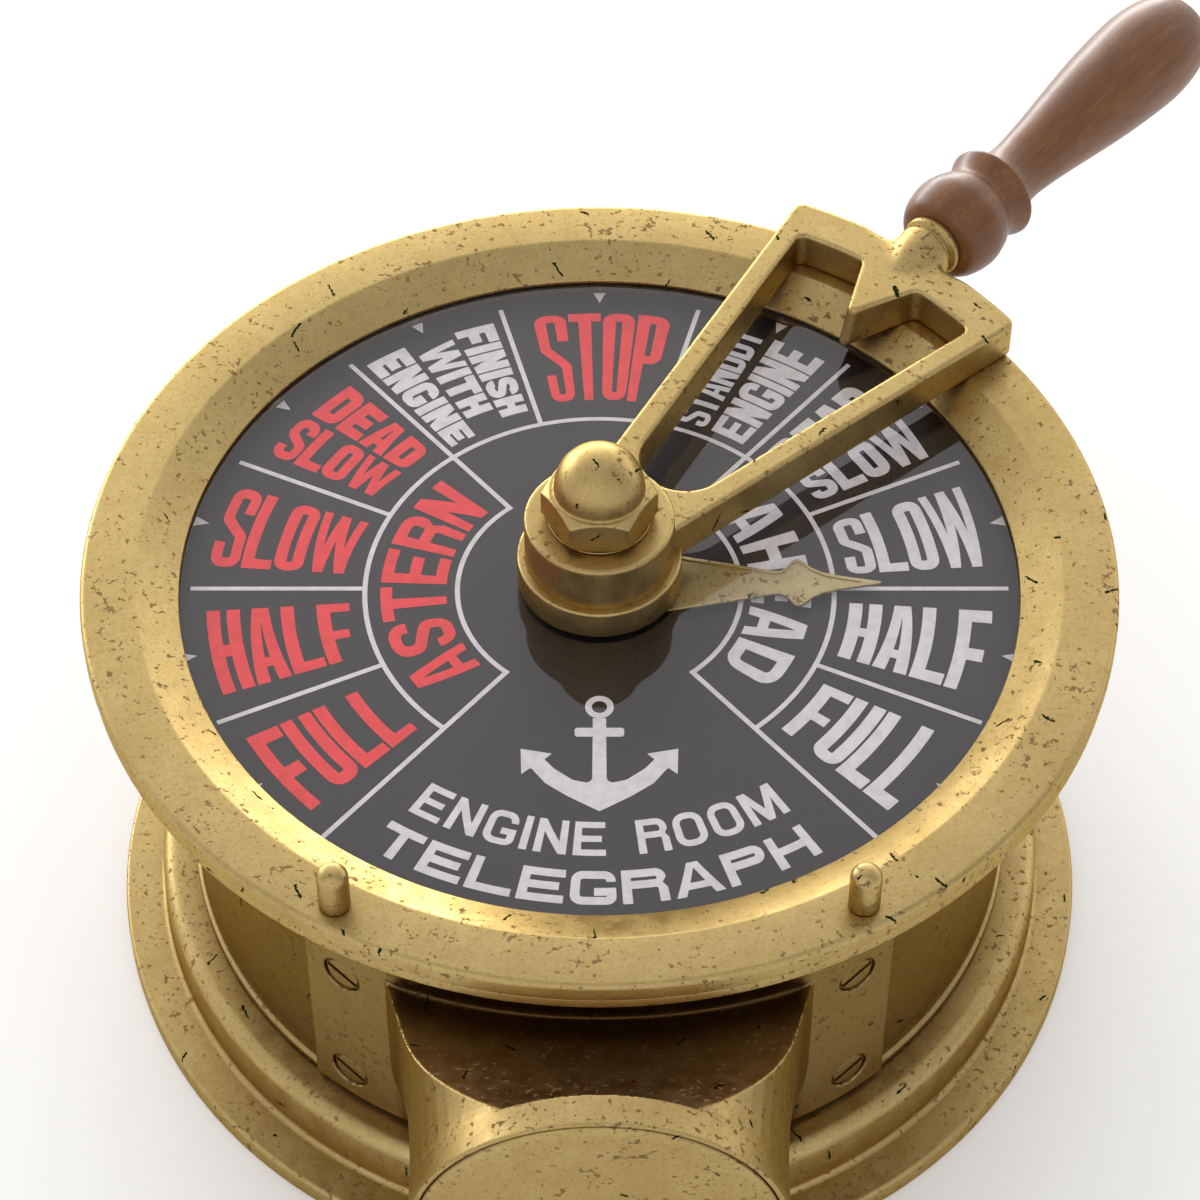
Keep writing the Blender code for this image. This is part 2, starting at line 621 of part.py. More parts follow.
def hub_stack(lever):
    washer("lever_collar", SHAFT_R + GAP, COLLAR_R, 179.6, LEVER_BOTTOM - GAP, BRASS, SEAL_STEPS, lever)
    washer("hub_washer", SHAFT_R + GAP, 17.4, HUB_TOP + GAP, NUT_BOTTOM - GAP, BRASS, ROUND_STEPS, lever)
    nut_turn = -LEVER_REST  # the nut's flats stand square to the dial
    nut = plate("acorn_nut", [hexagon(NUT_CORNER_R, nut_turn)], NUT_BOTTOM, NUT_TOP, BRASS, lever)
    profile = [(0, DOME_CENTRE + DOME_R)]
    for degrees in range(75, -1, -15):
        across, up = polar(DOME_R, degrees)
        profile.append((across, DOME_CENTRE + up))
    profile += [(DOME_R, NUT_TOP - 3), (0, NUT_TOP - 3)]
    dome = turned("nut_dome", profile, None, ROUND_STEPS, lever)
    CUTTERS.objects.link(dome)
    PARTS.objects.unlink(dome)
    combine_with(nut, "UNION", dome)
    bore = (add_rod, SHAFT_R + GAP, (0, 0, NUT_BOTTOM - 3), (0, 0, 234), ROUND_STEPS)
    combine(nut, "DIFFERENCE", "nut_bore", [bore], lever)


def order_shaft(lever):
    profile = [(0, 233), (SHAFT_R, 233), (SHAFT_R, 9.0), (0, 9.0)]
    shaft = turned("order_shaft", profile, STEEL, ROUND_STEPS, lever)
    keyway = (add_box, (4.6, 5.6, 18.6), (7.5, 0, 202))
    combine(shaft, "DIFFERENCE", "shaft_keyway", [keyway], lever)
    solid("lever_key", [(add_box, (5.6, 5.0, 18.0), (8.9, 0, 202))], STEEL, lever)


def handle(lever):
    along = empty("handle_axis", (0, 0, GRIP_HEIGHT), 0, lever)
    along.rotation_euler.y = math.radians(90)
    ferrule = [
        (4.4, 204.8), (12.4, 204.8), (12.4, 202.8), (9.6, 200.8), (9.6, 199.1), (4.4, 199.1),
    ]
    turned("handle_ferrule", ferrule, BRASS, ROUND_STEPS, along)
    turned("handle_tang", [(0, 366), (4.0, 366), (4.0, 184.6), (0, 184.6)], STEEL, 12, along)
    grip = [
        (0, 378.2), (9, 377.0), (16.4, 371.6), (20.3, 362), (21.3, 349), (20.6, 332), (16.4, 293),
        (12.8, 263), (12.6, 256.5), (17.6, 247.6), (19.0, 243), (16.0, 235), (20.0, 225.4),
        (20.8, 218.5), (17.8, 209.4), (12.8, 205.1), (4.4, 205.1), (4.4, 367), (0, 367),
    ]
    turned("wooden_grip", grip, WOOD, ROUND_STEPS, along)


def wheel_outline(radius, teeth, depth):
    """A chain wheel's edge: flat-topped teeth between V-shaped gaps."""
    outline = []
    pitch = 360.0 / teeth
    for k in range(teeth):
        start = k * pitch
        for share, drop in ((0.0, 0.0), (0.25, 0.0), (0.62, depth)):
            outline.append(polar(radius - drop, start + share * pitch))
    return outline


def chain_wheel(name, span, bore, hub_r, hub_top, parent):
    wheel = plate(name, [wheel_outline(WHEEL_R, WHEEL_TEETH, 4.5)], span[0], span[1], STEEL, parent)
    hub = (add_rod, hub_r, (0, 0, span[0] + 0.01), (0, 0, hub_top), ROUND_STEPS)
    combine(wheel, "UNION", name + "_hub", [hub], parent)
    bore_rod = (add_rod, bore, (0, 0, span[0] - 5), (0, 0, hub_top + 5), ROUND_STEPS)
    combine(wheel, "DIFFERENCE", name + "_bore", [bore_rod], parent)


def detent_wheel(lever):
    """A notch for each order, and the roller's resting place on the crest between two of them."""
    outline = []
    notch = 5.0
    roller_shift = ROLLER_ANGLE - LEVER_REST
    for angle in sorted((a + roller_shift - LEVER_REST) % 360 for a in ORDER_ANGLES):
        for share, drop in ((-1.0, 0.0), (-0.35, 4.0), (0.35, 4.0), (1.0, 0.0)):
            outline.append(polar(DETENT_WHEEL_R - drop, angle + share * notch))
    bore = arc(0, 0, SHAFT_R + GAP, 0, 337.5, 15)
    plate("detent_wheel", [outline, bore], *DETENT_WHEEL, STEEL, lever)


# ---------------------------------------------------------------- reply pointer and what turns with it
def reply_set():
    reply = empty("reply_axis")
    side = [
        (20.0, 14.6), (30.0, 13.1), (50.0, 8.9), (63.0, 5.9), (67.0, 5.6), (69.5, 7.4), (71.6, 10.6),
        (73.6, 11.6), (75.4, 10.6), (78.6, 7.4), (83.0, 4.9), (90.0, 3.1), (103.8, 0.6), (104.8, 0.2),
    ]
    tail = math.degrees(math.atan2(14.6, 20.0))
    outline = side + [(x, -y) for x, y in reversed(side)]
    outline += arc(0, 0, math.hypot(20.0, 14.6), 360 - tail - 10, tail + 10, 16)
    bore = arc(0, 0, SLEEVE_BORE, 0, 337.5, 15)
    plate("reply_pointer", [outline, bore], 174.6, 175.8, BRASS, reply)
    sleeve = [
        (16, 174.3), (16, 172.5), (SLEEVE_R, 172.5), (SLEEVE_R, 99.5), (SLEEVE_BORE, 99.5),
        (SLEEVE_BORE, 174.3),
    ]
    turned("reply_sleeve", sleeve, STEEL, ROUND_STEPS, reply)
    washer("sleeve_collar", SLEEVE_R + GAP, 18, 138, 146, STEEL, ROUND_STEPS, reply)
    chain_wheel("reply_chain_wheel", REPLY_WHEEL, SLEEVE_R + GAP, 18, 128, reply)
    points = []
    lobes = len(ORDER_ANGLES)
    for k in range(lobes):
        points.append(polar(STAR_R, 360.0 * k / lobes))
        points.append(polar(STAR_R - 6.0, 360.0 * (k + 0.5) / lobes))
    star_bore = arc(0, 0, SLEEVE_R + GAP, 0, 337.5, 15)
    plate("gong_star_wheel", [points, star_bore], *STAR, STEEL, reply)


# ---------------------------------------------------------------- gong hammer and detent arm
def bar_between(start, end, half_width):
    """Outline of a flat bar with square ends between two points."""
    along = (Vector(end) - Vector(start)).normalized()
    aside = Vector((-along.y, along.x)) * half_width
    corners = (Vector(start) + aside, Vector(start) - aside, Vector(end) - aside, Vector(end) + aside)
    return [tuple(corner) for corner in corners]


def gong_hammer():
    pivot = Vector(HAMMER_PIVOT)
    where = empty("hammer_axis", (*HAMMER_PIVOT, 0))
    head = Vector(HAMMER_HEAD) - pivot
    tail = -pivot.normalized() * (pivot.length - STAR_R - 1.5)
    boss = (add_rod, 7.5, (0, 0, 47), (0, 0, 81), ROD_SIDES)
    arm = plate("hammer_arm", [bar_between((0, 0), head, 3.0)], 48.0, 52.0, STEEL, where)
    combine(arm, "UNION", "hammer_boss", [boss], where)
    upper = plate("hammer_tail", [bar_between((0, 0), tail, 3.0)], 102.0, 106.0, STEEL, where)
    upper_boss = (add_rod, 6.5, (0, 0, 81.3), (0, 0, 107), ROD_SIDES)  # runs down inside the spring
    combine(upper, "UNION", "tail_boss", [upper_boss], where)
    bore = (add_rod, 4.4, (0, 0, 40), (0, 0, 120), ROD_SIDES)
    combine(arm, "DIFFERENCE", "hammer_bore", [bore], where)
    combine(upper, "DIFFERENCE", "tail_bore", [bore], where)
    end = [(add_rod, 3.3, (*head, 46), (*head, 54), 12)]
    combine(arm, "DIFFERENCE", "hammer_eye", end, where)
    hammer = [
        (0, 57), (5.5, 57), (HAMMER_HEAD_R, 55.8), (HAMMER_HEAD_R, 52.3), (3.0, 52.3), (3.0, 44.5),
        (0, 44.5),
    ]
    head_axis = empty("hammer_head_axis", (*head, 0), 0, where)
    turned("hammer_head", hammer, BRONZE, ROD_SIDES, head_axis)


def detent_arm():
    where = empty("detent_axis", (*DETENT_PIVOT, 0))
    roller_x, roller_y = polar(DETENT_WHEEL_R + ROLLER_R + 0.4, ROLLER_ANGLE)
    end = Vector((roller_x, roller_y)) - Vector(DETENT_PIVOT)
    arm = plate("detent_arm", [bar_between((0, 0), end * 1.08, 5.0)], 68.0, 72.0, STEEL, where)
    boss = (add_rod, 8.0, (0, 0, 60.5), (0, 0, 78), ROD_SIDES)
    combine(arm, "UNION", "detent_boss", [boss], where)
    cuts = [
        (add_rod, 4.4, (0, 0, 50), (0, 0, 90), ROD_SIDES),
        (add_rod, 2.6, (*end, 60), (*end, 80), 12),
    ]
    combine(arm, "DIFFERENCE", "detent_bores", cuts, where)
    roller_axis = empty("roller_axis", (*end, 0), 0, where)
    washer("detent_roller", 2.6, ROLLER_R, 60.5, 65.8, BRONZE, ROUND_STEPS, roller_axis)
    pin = [(0, 74), (4, 74), (4, 72.3), (2.2, 72.3), (2.2, 60.5), (0, 60.5)]
    turned("roller_pin", pin, STEEL, 12, roller_axis)


back_cover()
cover_bolts()
cover_gasket()
drum_casing()
dial_and_glass()
front_bezel()
stop_pins()
neck_saddle()
neck_end()
saddle_screws()
bridge_and_bushes()
gong_set()
pivot_posts()
LEVER = empty("lever_axis", (0, 0, 0), LEVER_REST)
lever_frame(LEVER)
hub_stack(LEVER)
order_shaft(LEVER)
handle(LEVER)
chain_wheel("order_chain_wheel", ORDER_WHEEL, SHAFT_R + GAP, 16, 96, LEVER)
detent_wheel(LEVER)
reply_set()
gong_hammer()
detent_arm()
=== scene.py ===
"""Looks of a ship's engine order telegraph head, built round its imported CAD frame.

Lengths are in millimetres until a mesh is made, and then in metres. The frame is the CAD's: +Z out of the dial,
+Y towards twelve o'clock. Everything that turns with the order lever is drawn with the lever along +X and then
turned to its resting angle.
"""

import math

import bmesh
import bpy
from mathutils import Matrix, Vector


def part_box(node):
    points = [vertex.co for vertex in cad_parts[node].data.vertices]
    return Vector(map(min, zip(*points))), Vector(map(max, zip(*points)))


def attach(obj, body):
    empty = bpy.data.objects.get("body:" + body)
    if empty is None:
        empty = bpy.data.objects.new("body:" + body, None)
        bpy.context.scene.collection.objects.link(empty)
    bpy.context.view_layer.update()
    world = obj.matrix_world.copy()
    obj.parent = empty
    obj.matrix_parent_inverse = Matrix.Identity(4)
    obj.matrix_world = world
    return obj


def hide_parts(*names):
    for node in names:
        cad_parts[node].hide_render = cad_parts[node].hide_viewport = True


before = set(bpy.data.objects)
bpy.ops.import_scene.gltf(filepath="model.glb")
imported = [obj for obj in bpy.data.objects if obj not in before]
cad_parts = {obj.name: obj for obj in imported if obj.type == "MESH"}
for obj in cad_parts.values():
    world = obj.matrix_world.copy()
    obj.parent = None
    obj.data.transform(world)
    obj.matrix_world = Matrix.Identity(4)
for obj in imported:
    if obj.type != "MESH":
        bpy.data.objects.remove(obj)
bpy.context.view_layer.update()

MM = 0.001


def span(node, axis):
    """Lowest and highest coordinate of a CAD node, in millimetres."""
    low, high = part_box(node)
    return low[axis] / MM, high[axis] / MM


# ---- heights and radii read from the frame
FLANGE_R = span("back_cover", 0)[1]
STEP_TOP = span("back_cover", 2)[1]
DRUM_FOOT, RIM_TOP = span("drum_casing", 2)
RIM_R = span("drum_casing", 0)[1]
DIAL_TOP = span("dial_plate", 2)[1]
LIP_BOTTOM, BEZEL_TOP = span("front_bezel", 2)
BEZEL_R = span("front_bezel", 0)[1]
COLLAR_BOTTOM, COLLAR_TOP = span("lever_collar", 2)
COLLAR_R = span("lever_collar", 0)[1]
LEVER_BOTTOM, HUB_TOP = span("lever_frame", 2)
NUT_BOTTOM, NUT_CROWN = span("acorn_nut", 2)
WASHER_BOTTOM, WASHER_TOP = span("hub_washer", 2)
POINTER_BOTTOM, POINTER_TOP = span("reply_pointer", 2)
NECK_MOUTH = span("neck_saddle", 1)[0]
EAR_BOTTOM = span("neck_saddle", 2)[0]
CAP_FACE, CAP_BACK = span("neck_cap", 1)
CAP_R = span("neck_cap", 0)[1]
NECK_MIDDLE = sum(span("neck_cap", 2)) / 2
PIN_FOOT, PIN_TOP = span("stop_pin_1", 2)

# ---- sizes that the frame's boxes don't give
STEP_R = 174.0
DRUM_R = 158.8
DRUM_IN = 152.8
LEDGE_R = 165.0
BEZEL_CREASE_R = 170.3
LIP_R = 155.1
FLANGE_TOP = 9.3
RIM_BOTTOM = 174.4
HUB_R = 27.5
LEVER_TOP = 203.5
LEVER_REST = 50.0
LEG_SLOPE = 0.195
LEG_OUTSIDE, LEG_INSIDE = 16.9, 7.6
BAR_OUT_R, BAR_IN_R = 193.0, 175.8
WEB_CENTRE, WEB_R = 49.3, 16.7
TOOTH_TOP, TOOTH_FOOT, TOOTH_HALF = 147.3, 141.0, 13.2
GRIP_HEIGHT = 198.7
NUT_CORNER_R, NUT_HEX_TOP = 21.3, 226.9
DOME_R = 16.5
SHAFT_HOLE_R = 8.3
WASHER_R = 19.0
BOSS_START, BOSS_END, BOSS_ROOT_R, BOSS_R = 178.0, 198.8, 4.7, 11.6
NECK_R = 66.0
NECK_SHOULDER = -221.9
NECK_ROOT = -142.0
EAR_R = DRUM_R + 3.2
EAR_ANGLE, EAR_TOP = 41.1, 130.0
WALL_ANGLE, WALL_BOTTOM, WALL_TOP = 27.0, 110.0, 156.0
ROOT_WIDER, ROOT_TALLER, ROOT_SQUARER = 10.8, 3.0, 4.0
SCREW_ANGLE, SCREW_HEIGHTS = 35.1, (51.0, 112.0)
SLOT_SLOPE = 21.0
SCREW_R = 7.0
SCOOP_R, SCOOP_Y, SCOOP_Z = 200.0, -95.4, 316.9
PIN_CIRCLE, PIN_ANGLES, PIN_R = 180.3, (-60.0, -120.0), 5.5
BOLT_CIRCLE, BOLT_ANGLES = 152.4, (45.0, 135.0, 225.0, 315.0)
BOLT_HEAD_R = 5.0
BLEND_STEPS = 180
ORDER_ANGLES = (-37.5, -12.5, 12.5, 37.5, 62.5, 90.0, 117.5, 142.5, 167.5, 192.5, 217.5)


# ---- shader helpers
def finish(name):
    """A new material: its node tree and its Principled shader."""
    made = bpy.data.materials.new(name)
    made.use_nodes = True
    return made, made.node_tree, made.node_tree.nodes["Principled BSDF"]


def node(tree, kind, settings=None, **inputs):
    """A node with its settings, and its inputs linked to sockets or set to plain values."""
    made = tree.nodes.new("ShaderNode" + kind)
    for key, value in (settings or {}).items():
        setattr(made, key, value)
    for key, value in inputs.items():
        feed(tree, made.inputs[key.replace("_", " ")], value)
    return made


def feed(tree, socket, value):
    if isinstance(value, bpy.types.NodeSocket):
        tree.links.new(value, socket)
    else:
        socket.default_value = value


def fixed(shader, **values):
    """Sets what is the same all over on the shader's own sockets."""
    for key, value in values.items():
        shader.inputs[key.replace("_", " ")].default_value = value


def maths(tree, operation, first, second=0.0):
    made = tree.nodes.new("ShaderNodeMath")
    made.operation = operation
    feed(tree, made.inputs[0], first)
    feed(tree, made.inputs[1], second)
    return made.outputs[0]


def vectors(tree, operation, first, second=(0.0, 0.0, 0.0)):
    made = tree.nodes.new("ShaderNodeVectorMath")
    made.operation = operation
    feed(tree, made.inputs[0], first)
    feed(tree, made.inputs[1], second)
    return made.outputs["Value" if operation in ("DOT_PRODUCT", "LENGTH") else "Vector"]


def between(tree, value, low, high, to_low=0.0, to_high=1.0):
    """A value's smooth step from low to high."""
    made = node(tree, "MapRange", {"interpolation_type": "SMOOTHSTEP"}, Value=value)
    made.inputs["From Min"].default_value = low
    made.inputs["From Max"].default_value = high
    made.inputs["To Min"].default_value = to_low
    made.inputs["To Max"].default_value = to_high
    return made.outputs["Result"]


def mixed(tree, share, first, second):
    """The first colour turning into the second as share goes from 0 to 1."""
    made = tree.nodes.new("ShaderNodeMix")
    made.data_type = "RGBA"
    feed(tree, made.inputs["Factor"], share)
    feed(tree, made.inputs[6], (*first, 1.0) if isinstance(first, tuple) else first)
    feed(tree, made.inputs[7], (*second, 1.0) if isinstance(second, tuple) else second)
    return made.outputs[2]


def noise(tree, where, scale, detail=2.0, roughness=0.5):
    made = node(tree, "TexNoise", None, Vector=where, Scale=scale, Detail=detail, Roughness=roughness)
    return made.outputs["Factor" if "Factor" in made.outputs else "Fac"]


def object_coordinates(tree):
    return node(tree, "TexCoord").outputs["Object"]


def separate(tree, vector):
    """A vector's three parts, by axis letter."""
    return node(tree, "SeparateXYZ", None, Vector=vector).outputs


def from_axis(tree, where):
    """A point's distance from the dial's axis."""
    return vectors(tree, "LENGTH", vectors(tree, "MULTIPLY", where, (1.0, 1.0, 0.0)))


def product(tree, first, *others):
    for other in others:
        first = maths(tree, "MULTIPLY", first, other)
    return first


def total(tree, first, *others):
    for other in others:
        first = maths(tree, "ADD", first, other)
    return first


# ---- materials
LIGHT_BRASS, DEEP_BRASS, BRASS_TINT = (0.49, 0.365, 0.158), (0.39, 0.275, 0.105), (0.80, 0.66, 0.42)
FLECK_BROWN, DOT_BROWN = (0.175, 0.098, 0.055), (0.105, 0.058, 0.030)
# Grime brown, darkened further as painted shade in corners; painted shade for the casing's waist; verdigris.
GRIME_AND_SHADE, WAIST_SHADE, VERDIGRIS = (0.22, 0.115, 0.038), (0.105, 0.058, 0.020), (0.004, 0.020, 0.008)
# Painted light for the neck's hollow, and painted shade for its corner against the drum.
HOLLOW_LIGHT, CORNER_SHADE = (0.78, 0.54, 0.29), (0.085, 0.047, 0.016)
POINTER_LIGHT, POINTER_DEEP = (0.76, 0.70, 0.37), (0.66, 0.59, 0.29)
WOOD_LIGHT, WOOD_DEEP = (0.205, 0.078, 0.022), (0.128, 0.046, 0.012)
FIBRE_BROWN, PORE_BROWN = (0.088, 0.034, 0.014), (0.050, 0.018, 0.009)


def strokes(tree, where, cells, half_width, reach, share):
    """Short ragged scratches: thin discs round scattered points, each turned its own way, cut by the surface."""
    wobble = node(tree, "TexNoise", None, Vector=where, Scale=700.0, Detail=1.0).outputs["Color"]
    shift = vectors(tree, "SCALE", vectors(tree, "SUBTRACT", wobble, (0.5, 0.5, 0.5)))
    shift.node.inputs["Scale"].default_value = 0.0016
    ragged = vectors(tree, "ADD", where, shift)
    cell = node(tree, "TexVoronoi", None, Vector=ragged, Scale=cells)
    away = vectors(tree, "SUBTRACT", ragged, cell.outputs["Position"])
    heading = vectors(tree, "NORMALIZE", vectors(tree, "SUBTRACT", cell.outputs["Color"], (0.5, 0.5, 0.5)))
    across = maths(tree, "ABSOLUTE", vectors(tree, "DOT_PRODUCT", away, heading))
    thin = between(tree, across, half_width * 0.6, half_width * 1.2, 1.0, 0.0)
    red = node(tree, "SeparateColor", None, Color=cell.outputs["Color"]).outputs["Red"]
    length = product(tree, between(tree, red, 1.0 - share, 1.0), reach)
    inside = maths(tree, "LESS_THAN", vectors(tree, "LENGTH", away), length)
    return product(tree, thin, inside)


def painted_waist_shade(tree, where, waist_shade_strength):
    """Painted shade, darkening the casing's waist between its rim and its foot under the bezel's overhang, and the
    neck's side-facing walls; faces turned up are darkened less.
    """
    height, radius = separate(tree, where)["Z"], from_axis(tree, where)
    facing = separate(tree, node(tree, "NewGeometry").outputs["Normal"])
    neck_sides = product(
        tree,
        between(tree, facing["Z"], 0.45, 0.95, 0.84, 0.0),
        between(tree, facing["Y"], -0.95, -0.6),
        between(tree, radius, 0.236, 0.252, 1.0, 0.0),
        between(tree, facing["Y"], 0.1, 0.3, 1.0, 0.0),
    )
    casing = between(tree, radius, 0.164, 0.196, waist_shade_strength, 0.0)
    return product(
        tree,
        maths(tree, "MAXIMUM", casing, neck_sides),
        between(tree, facing["Z"], 0.3, 0.8, 1.0, 0.55),
        between(tree, height, 0.030, 0.046),
        between(tree, height, 0.150, 0.176, 1.0, 0.0),
    )


def hollow(tree, where, colour, hollow_lightening):
    """The neck's hollow: painted light brightens faces turned towards the drum, and painted shade darkens the corner
    against the drum.
    """
    facing = separate(tree, node(tree, "NewGeometry").outputs["Normal"])
    radius = from_axis(tree, where)
    # Painted light on the faces of the hollow turned towards the drum.
    painted_light = product(
        tree, between(tree, radius, 0.175, 0.215, 0.25), between(tree, facing["Y"], 0.12, 0.4, 0.0, hollow_lightening)
    )
    colour = mixed(tree, painted_light, colour, HOLLOW_LIGHT)
    # Painted shade in the corner where the hollow meets the drum.
    aside = maths(tree, "ABSOLUTE", separate(tree, where)["X"])
    corner = product(
        tree, between(tree, radius, 0.168, 0.186, 0.92, 0.0), between(tree, aside, 0.070, 0.077, 1.0, 0.0)
    )
    return mixed(tree, corner, colour, CORNER_SHADE)


def brass(name, waist_shade_strength=0.6, polish=0.36, light=LIGHT_BRASS, deep=DEEP_BRASS, hollow_lightening=0.0):
    """Aged satin brass: brown flecks, a few dark verdigris scratches, soft patina, and grime with painted shade in the
    corners.

    The second argument is how dark the painted shade on the casing's waist is, and the last how much painted
    light brightens the neck's hollow.
    """
    made, tree, shader = finish(name)
    where = object_coordinates(tree)
    patina = between(tree, noise(tree, where, 22.0, 4.0, 0.6), 0.35, 0.75)
    colour = mixed(tree, product(tree, patina, 0.5), light, deep)
    cloud = between(tree, noise(tree, where, 95.0, 5.0, 0.7), 0.36, 0.70, 0.0, 0.42)
    colour = mixed(tree, cloud, colour, deep)
    speckle = between(tree, noise(tree, where, 620.0, 3.0, 0.7), 0.42, 0.68, 0.0, 0.30)
    colour = mixed(tree, speckle, colour, tuple(channel * 0.72 for channel in deep))

    patch = between(tree, noise(tree, where, 38.0, 2.0), 0.36, 0.62)
    spots = maths(tree, "ADD", noise(tree, where, 350.0, 3.0, 0.62), product(tree, patch, 0.075))
    fleck = between(tree, spots, 0.664, 0.686)
    colour = mixed(tree, product(tree, fleck, 0.68), colour, FLECK_BROWN)
    dots = between(tree, noise(tree, where, 820.0, 2.0, 0.5), 0.685, 0.72)
    colour = mixed(tree, product(tree, dots, 0.7), colour, DOT_BROWN)

    # Painted shade: ambient occlusion darkens corners and recesses towards a grime brown.
    cavity = node(tree, "AmbientOcclusion", {"samples": 6}, Distance=0.016).outputs["AO"]
    grime_and_shade = between(tree, cavity, 0.25, 0.85, 0.55, 0.0)
    colour = mixed(tree, grime_and_shade, colour, GRIME_AND_SHADE)
    # Painted shade on the casing's waist under the bezel and on the neck's sides.
    colour = mixed(tree, painted_waist_shade(tree, where, waist_shade_strength), colour, WAIST_SHADE)
    # Painted light in the neck's hollow, and painted shade in its corner against the drum.
    if hollow_lightening:
        colour = hollow(tree, where, colour, hollow_lightening)

    scratch = strokes(tree, where, 68.0, 0.00045, 0.0038, 0.8)
    colour = mixed(tree, scratch, colour, VERDIGRIS)

    blemish = maths(tree, "MAXIMUM", fleck, scratch)
    fine = noise(tree, where, 120.0, 3.0, 0.6)
    rough = total(
        tree,
        between(tree, fine, 0.3, 0.7, polish - 0.05, polish + 0.07),
        product(tree, blemish, 0.26),
        product(tree, patina, 0.06),
    )
    grain = noise(tree, where, 1400.0, 2.0)
    height = maths(tree, "SUBTRACT", product(tree, grain, 0.35), blemish)
    bump = node(tree, "Bump", None, Strength=0.22, Distance=0.00025, Height=height)
    feed(tree, shader.inputs["Base Color"], colour)
    feed(tree, shader.inputs["Roughness"], rough)
    fixed(shader, Metallic=1.0, Specular_Tint=(*BRASS_TINT, 1.0))
    feed(tree, shader.inputs["Normal"], bump.outputs["Normal"])
    return made


def plain_metal(name, colour, polish, scale=260.0):
    """Machined or cast metal with faint mottling, for the pieces that hardly show."""
    made, tree, shader = finish(name)
    where = object_coordinates(tree)
    mottle = noise(tree, where, scale, 3.0, 0.6)
    darker = tuple(channel * 0.7 for channel in colour)
    feed(tree, shader.inputs["Base Color"], mixed(tree, between(tree, mottle, 0.3, 0.7), colour, darker))
    feed(tree, shader.inputs["Roughness"], between(tree, mottle, 0.3, 0.7, polish - 0.06, polish + 0.08))
    fixed(shader, Metallic=1.0)
    return made


def enamel(name):
    """Black stove enamel, faintly mottled."""
    made, tree, shader = finish(name)
    where = object_coordinates(tree)
    cloud = noise(tree, where, 60.0, 5.0, 0.65)
    feed(tree, shader.inputs["Base Color"], mixed(tree, cloud, (0.0075, 0.0060, 0.0072), (0.0150, 0.0125, 0.0140)))
    feed(tree, shader.inputs["Roughness"], between(tree, cloud, 0.3, 0.7, 0.42, 0.55))
    fixed(shader, Specular_IOR_Level=0.25)
    return made


def ink(name, colour):
    """Matt printed enamel, slightly uneven."""
    made, tree, shader = finish(name)
    where = object_coordinates(tree)
    cloud = noise(tree, where, 240.0, 4.0, 0.6)
    dimmer = tuple(channel * 0.86 for channel in colour)
    feed(tree, shader.inputs["Base Color"], mixed(tree, between(tree, cloud, 0.35, 0.7), colour, dimmer))
    feed(tree, shader.inputs["Roughness"], between(tree, cloud, 0.3, 0.7, 0.5, 0.65))
    fixed(shader, Specular_IOR_Level=0.2)
    return made


def rubber(name):
    made, tree, shader = finish(name)
    cloud = noise(tree, object_coordinates(tree), 400.0, 3.0)
    feed(tree, shader.inputs["Base Color"], mixed(tree, cloud, (0.010, 0.010, 0.010), (0.025, 0.024, 0.022)))
    feed(tree, shader.inputs["Roughness"], between(tree, cloud, 0.3, 0.7, 0.7, 0.85))
    return made


def window_glass(name):
    """A thin pane: what is behind shows through, and the outer face mirrors for both faces."""
    made = bpy.data.materials.new(name)
    made.use_nodes = True
    tree = made.node_tree
    tree.nodes.clear()
    smear = noise(tree, object_coordinates(tree), 14.0, 4.0, 0.6)
    clear = node(tree, "BsdfTransparent", None, Color=(0.985, 0.98, 0.985, 1.0))
    mirror = node(tree, "BsdfGlossy", None, Color=(1.0, 0.955, 0.985, 1.0))
    feed(tree, mirror.inputs["Roughness"], between(tree, smear, 0.3, 0.7, 0.015, 0.045))
    glance = node(tree, "Fresnel", None, IOR=1.62).outputs[0]
    front = maths(tree, "SUBTRACT", 1.0, node(tree, "NewGeometry").outputs["Backfacing"])
    mix = node(tree, "MixShader", None, Fac=product(tree, glance, front))
    tree.links.new(clear.outputs[0], mix.inputs[1])
    tree.links.new(mirror.outputs[0], mix.inputs[2])
    out = node(tree, "OutputMaterial")
    tree.links.new(mix.outputs[0], out.inputs["Surface"])
    return made


def turned_wood(name):
    """Varnished hardwood with fine grain along the handle."""
    made, tree, shader = finish(name)
    along = node(tree, "Mapping", None, Vector=object_coordinates(tree))
    along.inputs["Rotation"].default_value = (0.0, 0.0, math.radians(-LEVER_REST))
    straight = along.outputs["Vector"]

    def drawn_out(share, scale, detail, roughness):
        """Noise stretched along the handle, to share of its frequency there."""
        stretched = vectors(tree, "MULTIPLY", straight, (share, 1.0, 1.0))
        return noise(tree, stretched, scale, detail, roughness)

    broad = drawn_out(0.16, 90.0, 3.0, 0.55)
    fibre = drawn_out(0.035, 900.0, 4.0, 0.7)
    pores = drawn_out(0.04, 1700.0, 2.0, 0.6)
    colour = mixed(tree, between(tree, broad, 0.3, 0.72), WOOD_LIGHT, WOOD_DEEP)
    colour = mixed(tree, between(tree, fibre, 0.38, 0.66, 0.0, 0.55), colour, FIBRE_BROWN)
    colour = mixed(tree, between(tree, pores, 0.66, 0.74, 0.0, 0.6), colour, PORE_BROWN)
    feed(tree, shader.inputs["Base Color"], colour)
    feed(tree, shader.inputs["Roughness"], between(tree, fibre, 0.3, 0.7, 0.48, 0.60))
    bump = node(tree, "Bump", None, Strength=0.16, Distance=0.0002, Height=fibre)
    feed(tree, shader.inputs["Normal"], bump.outputs["Normal"])
    fixed(shader, Coat_Weight=0.5, Coat_Roughness=0.3, Specular_IOR_Level=0.2)
    return made


BRASS = brass("aged_brass")
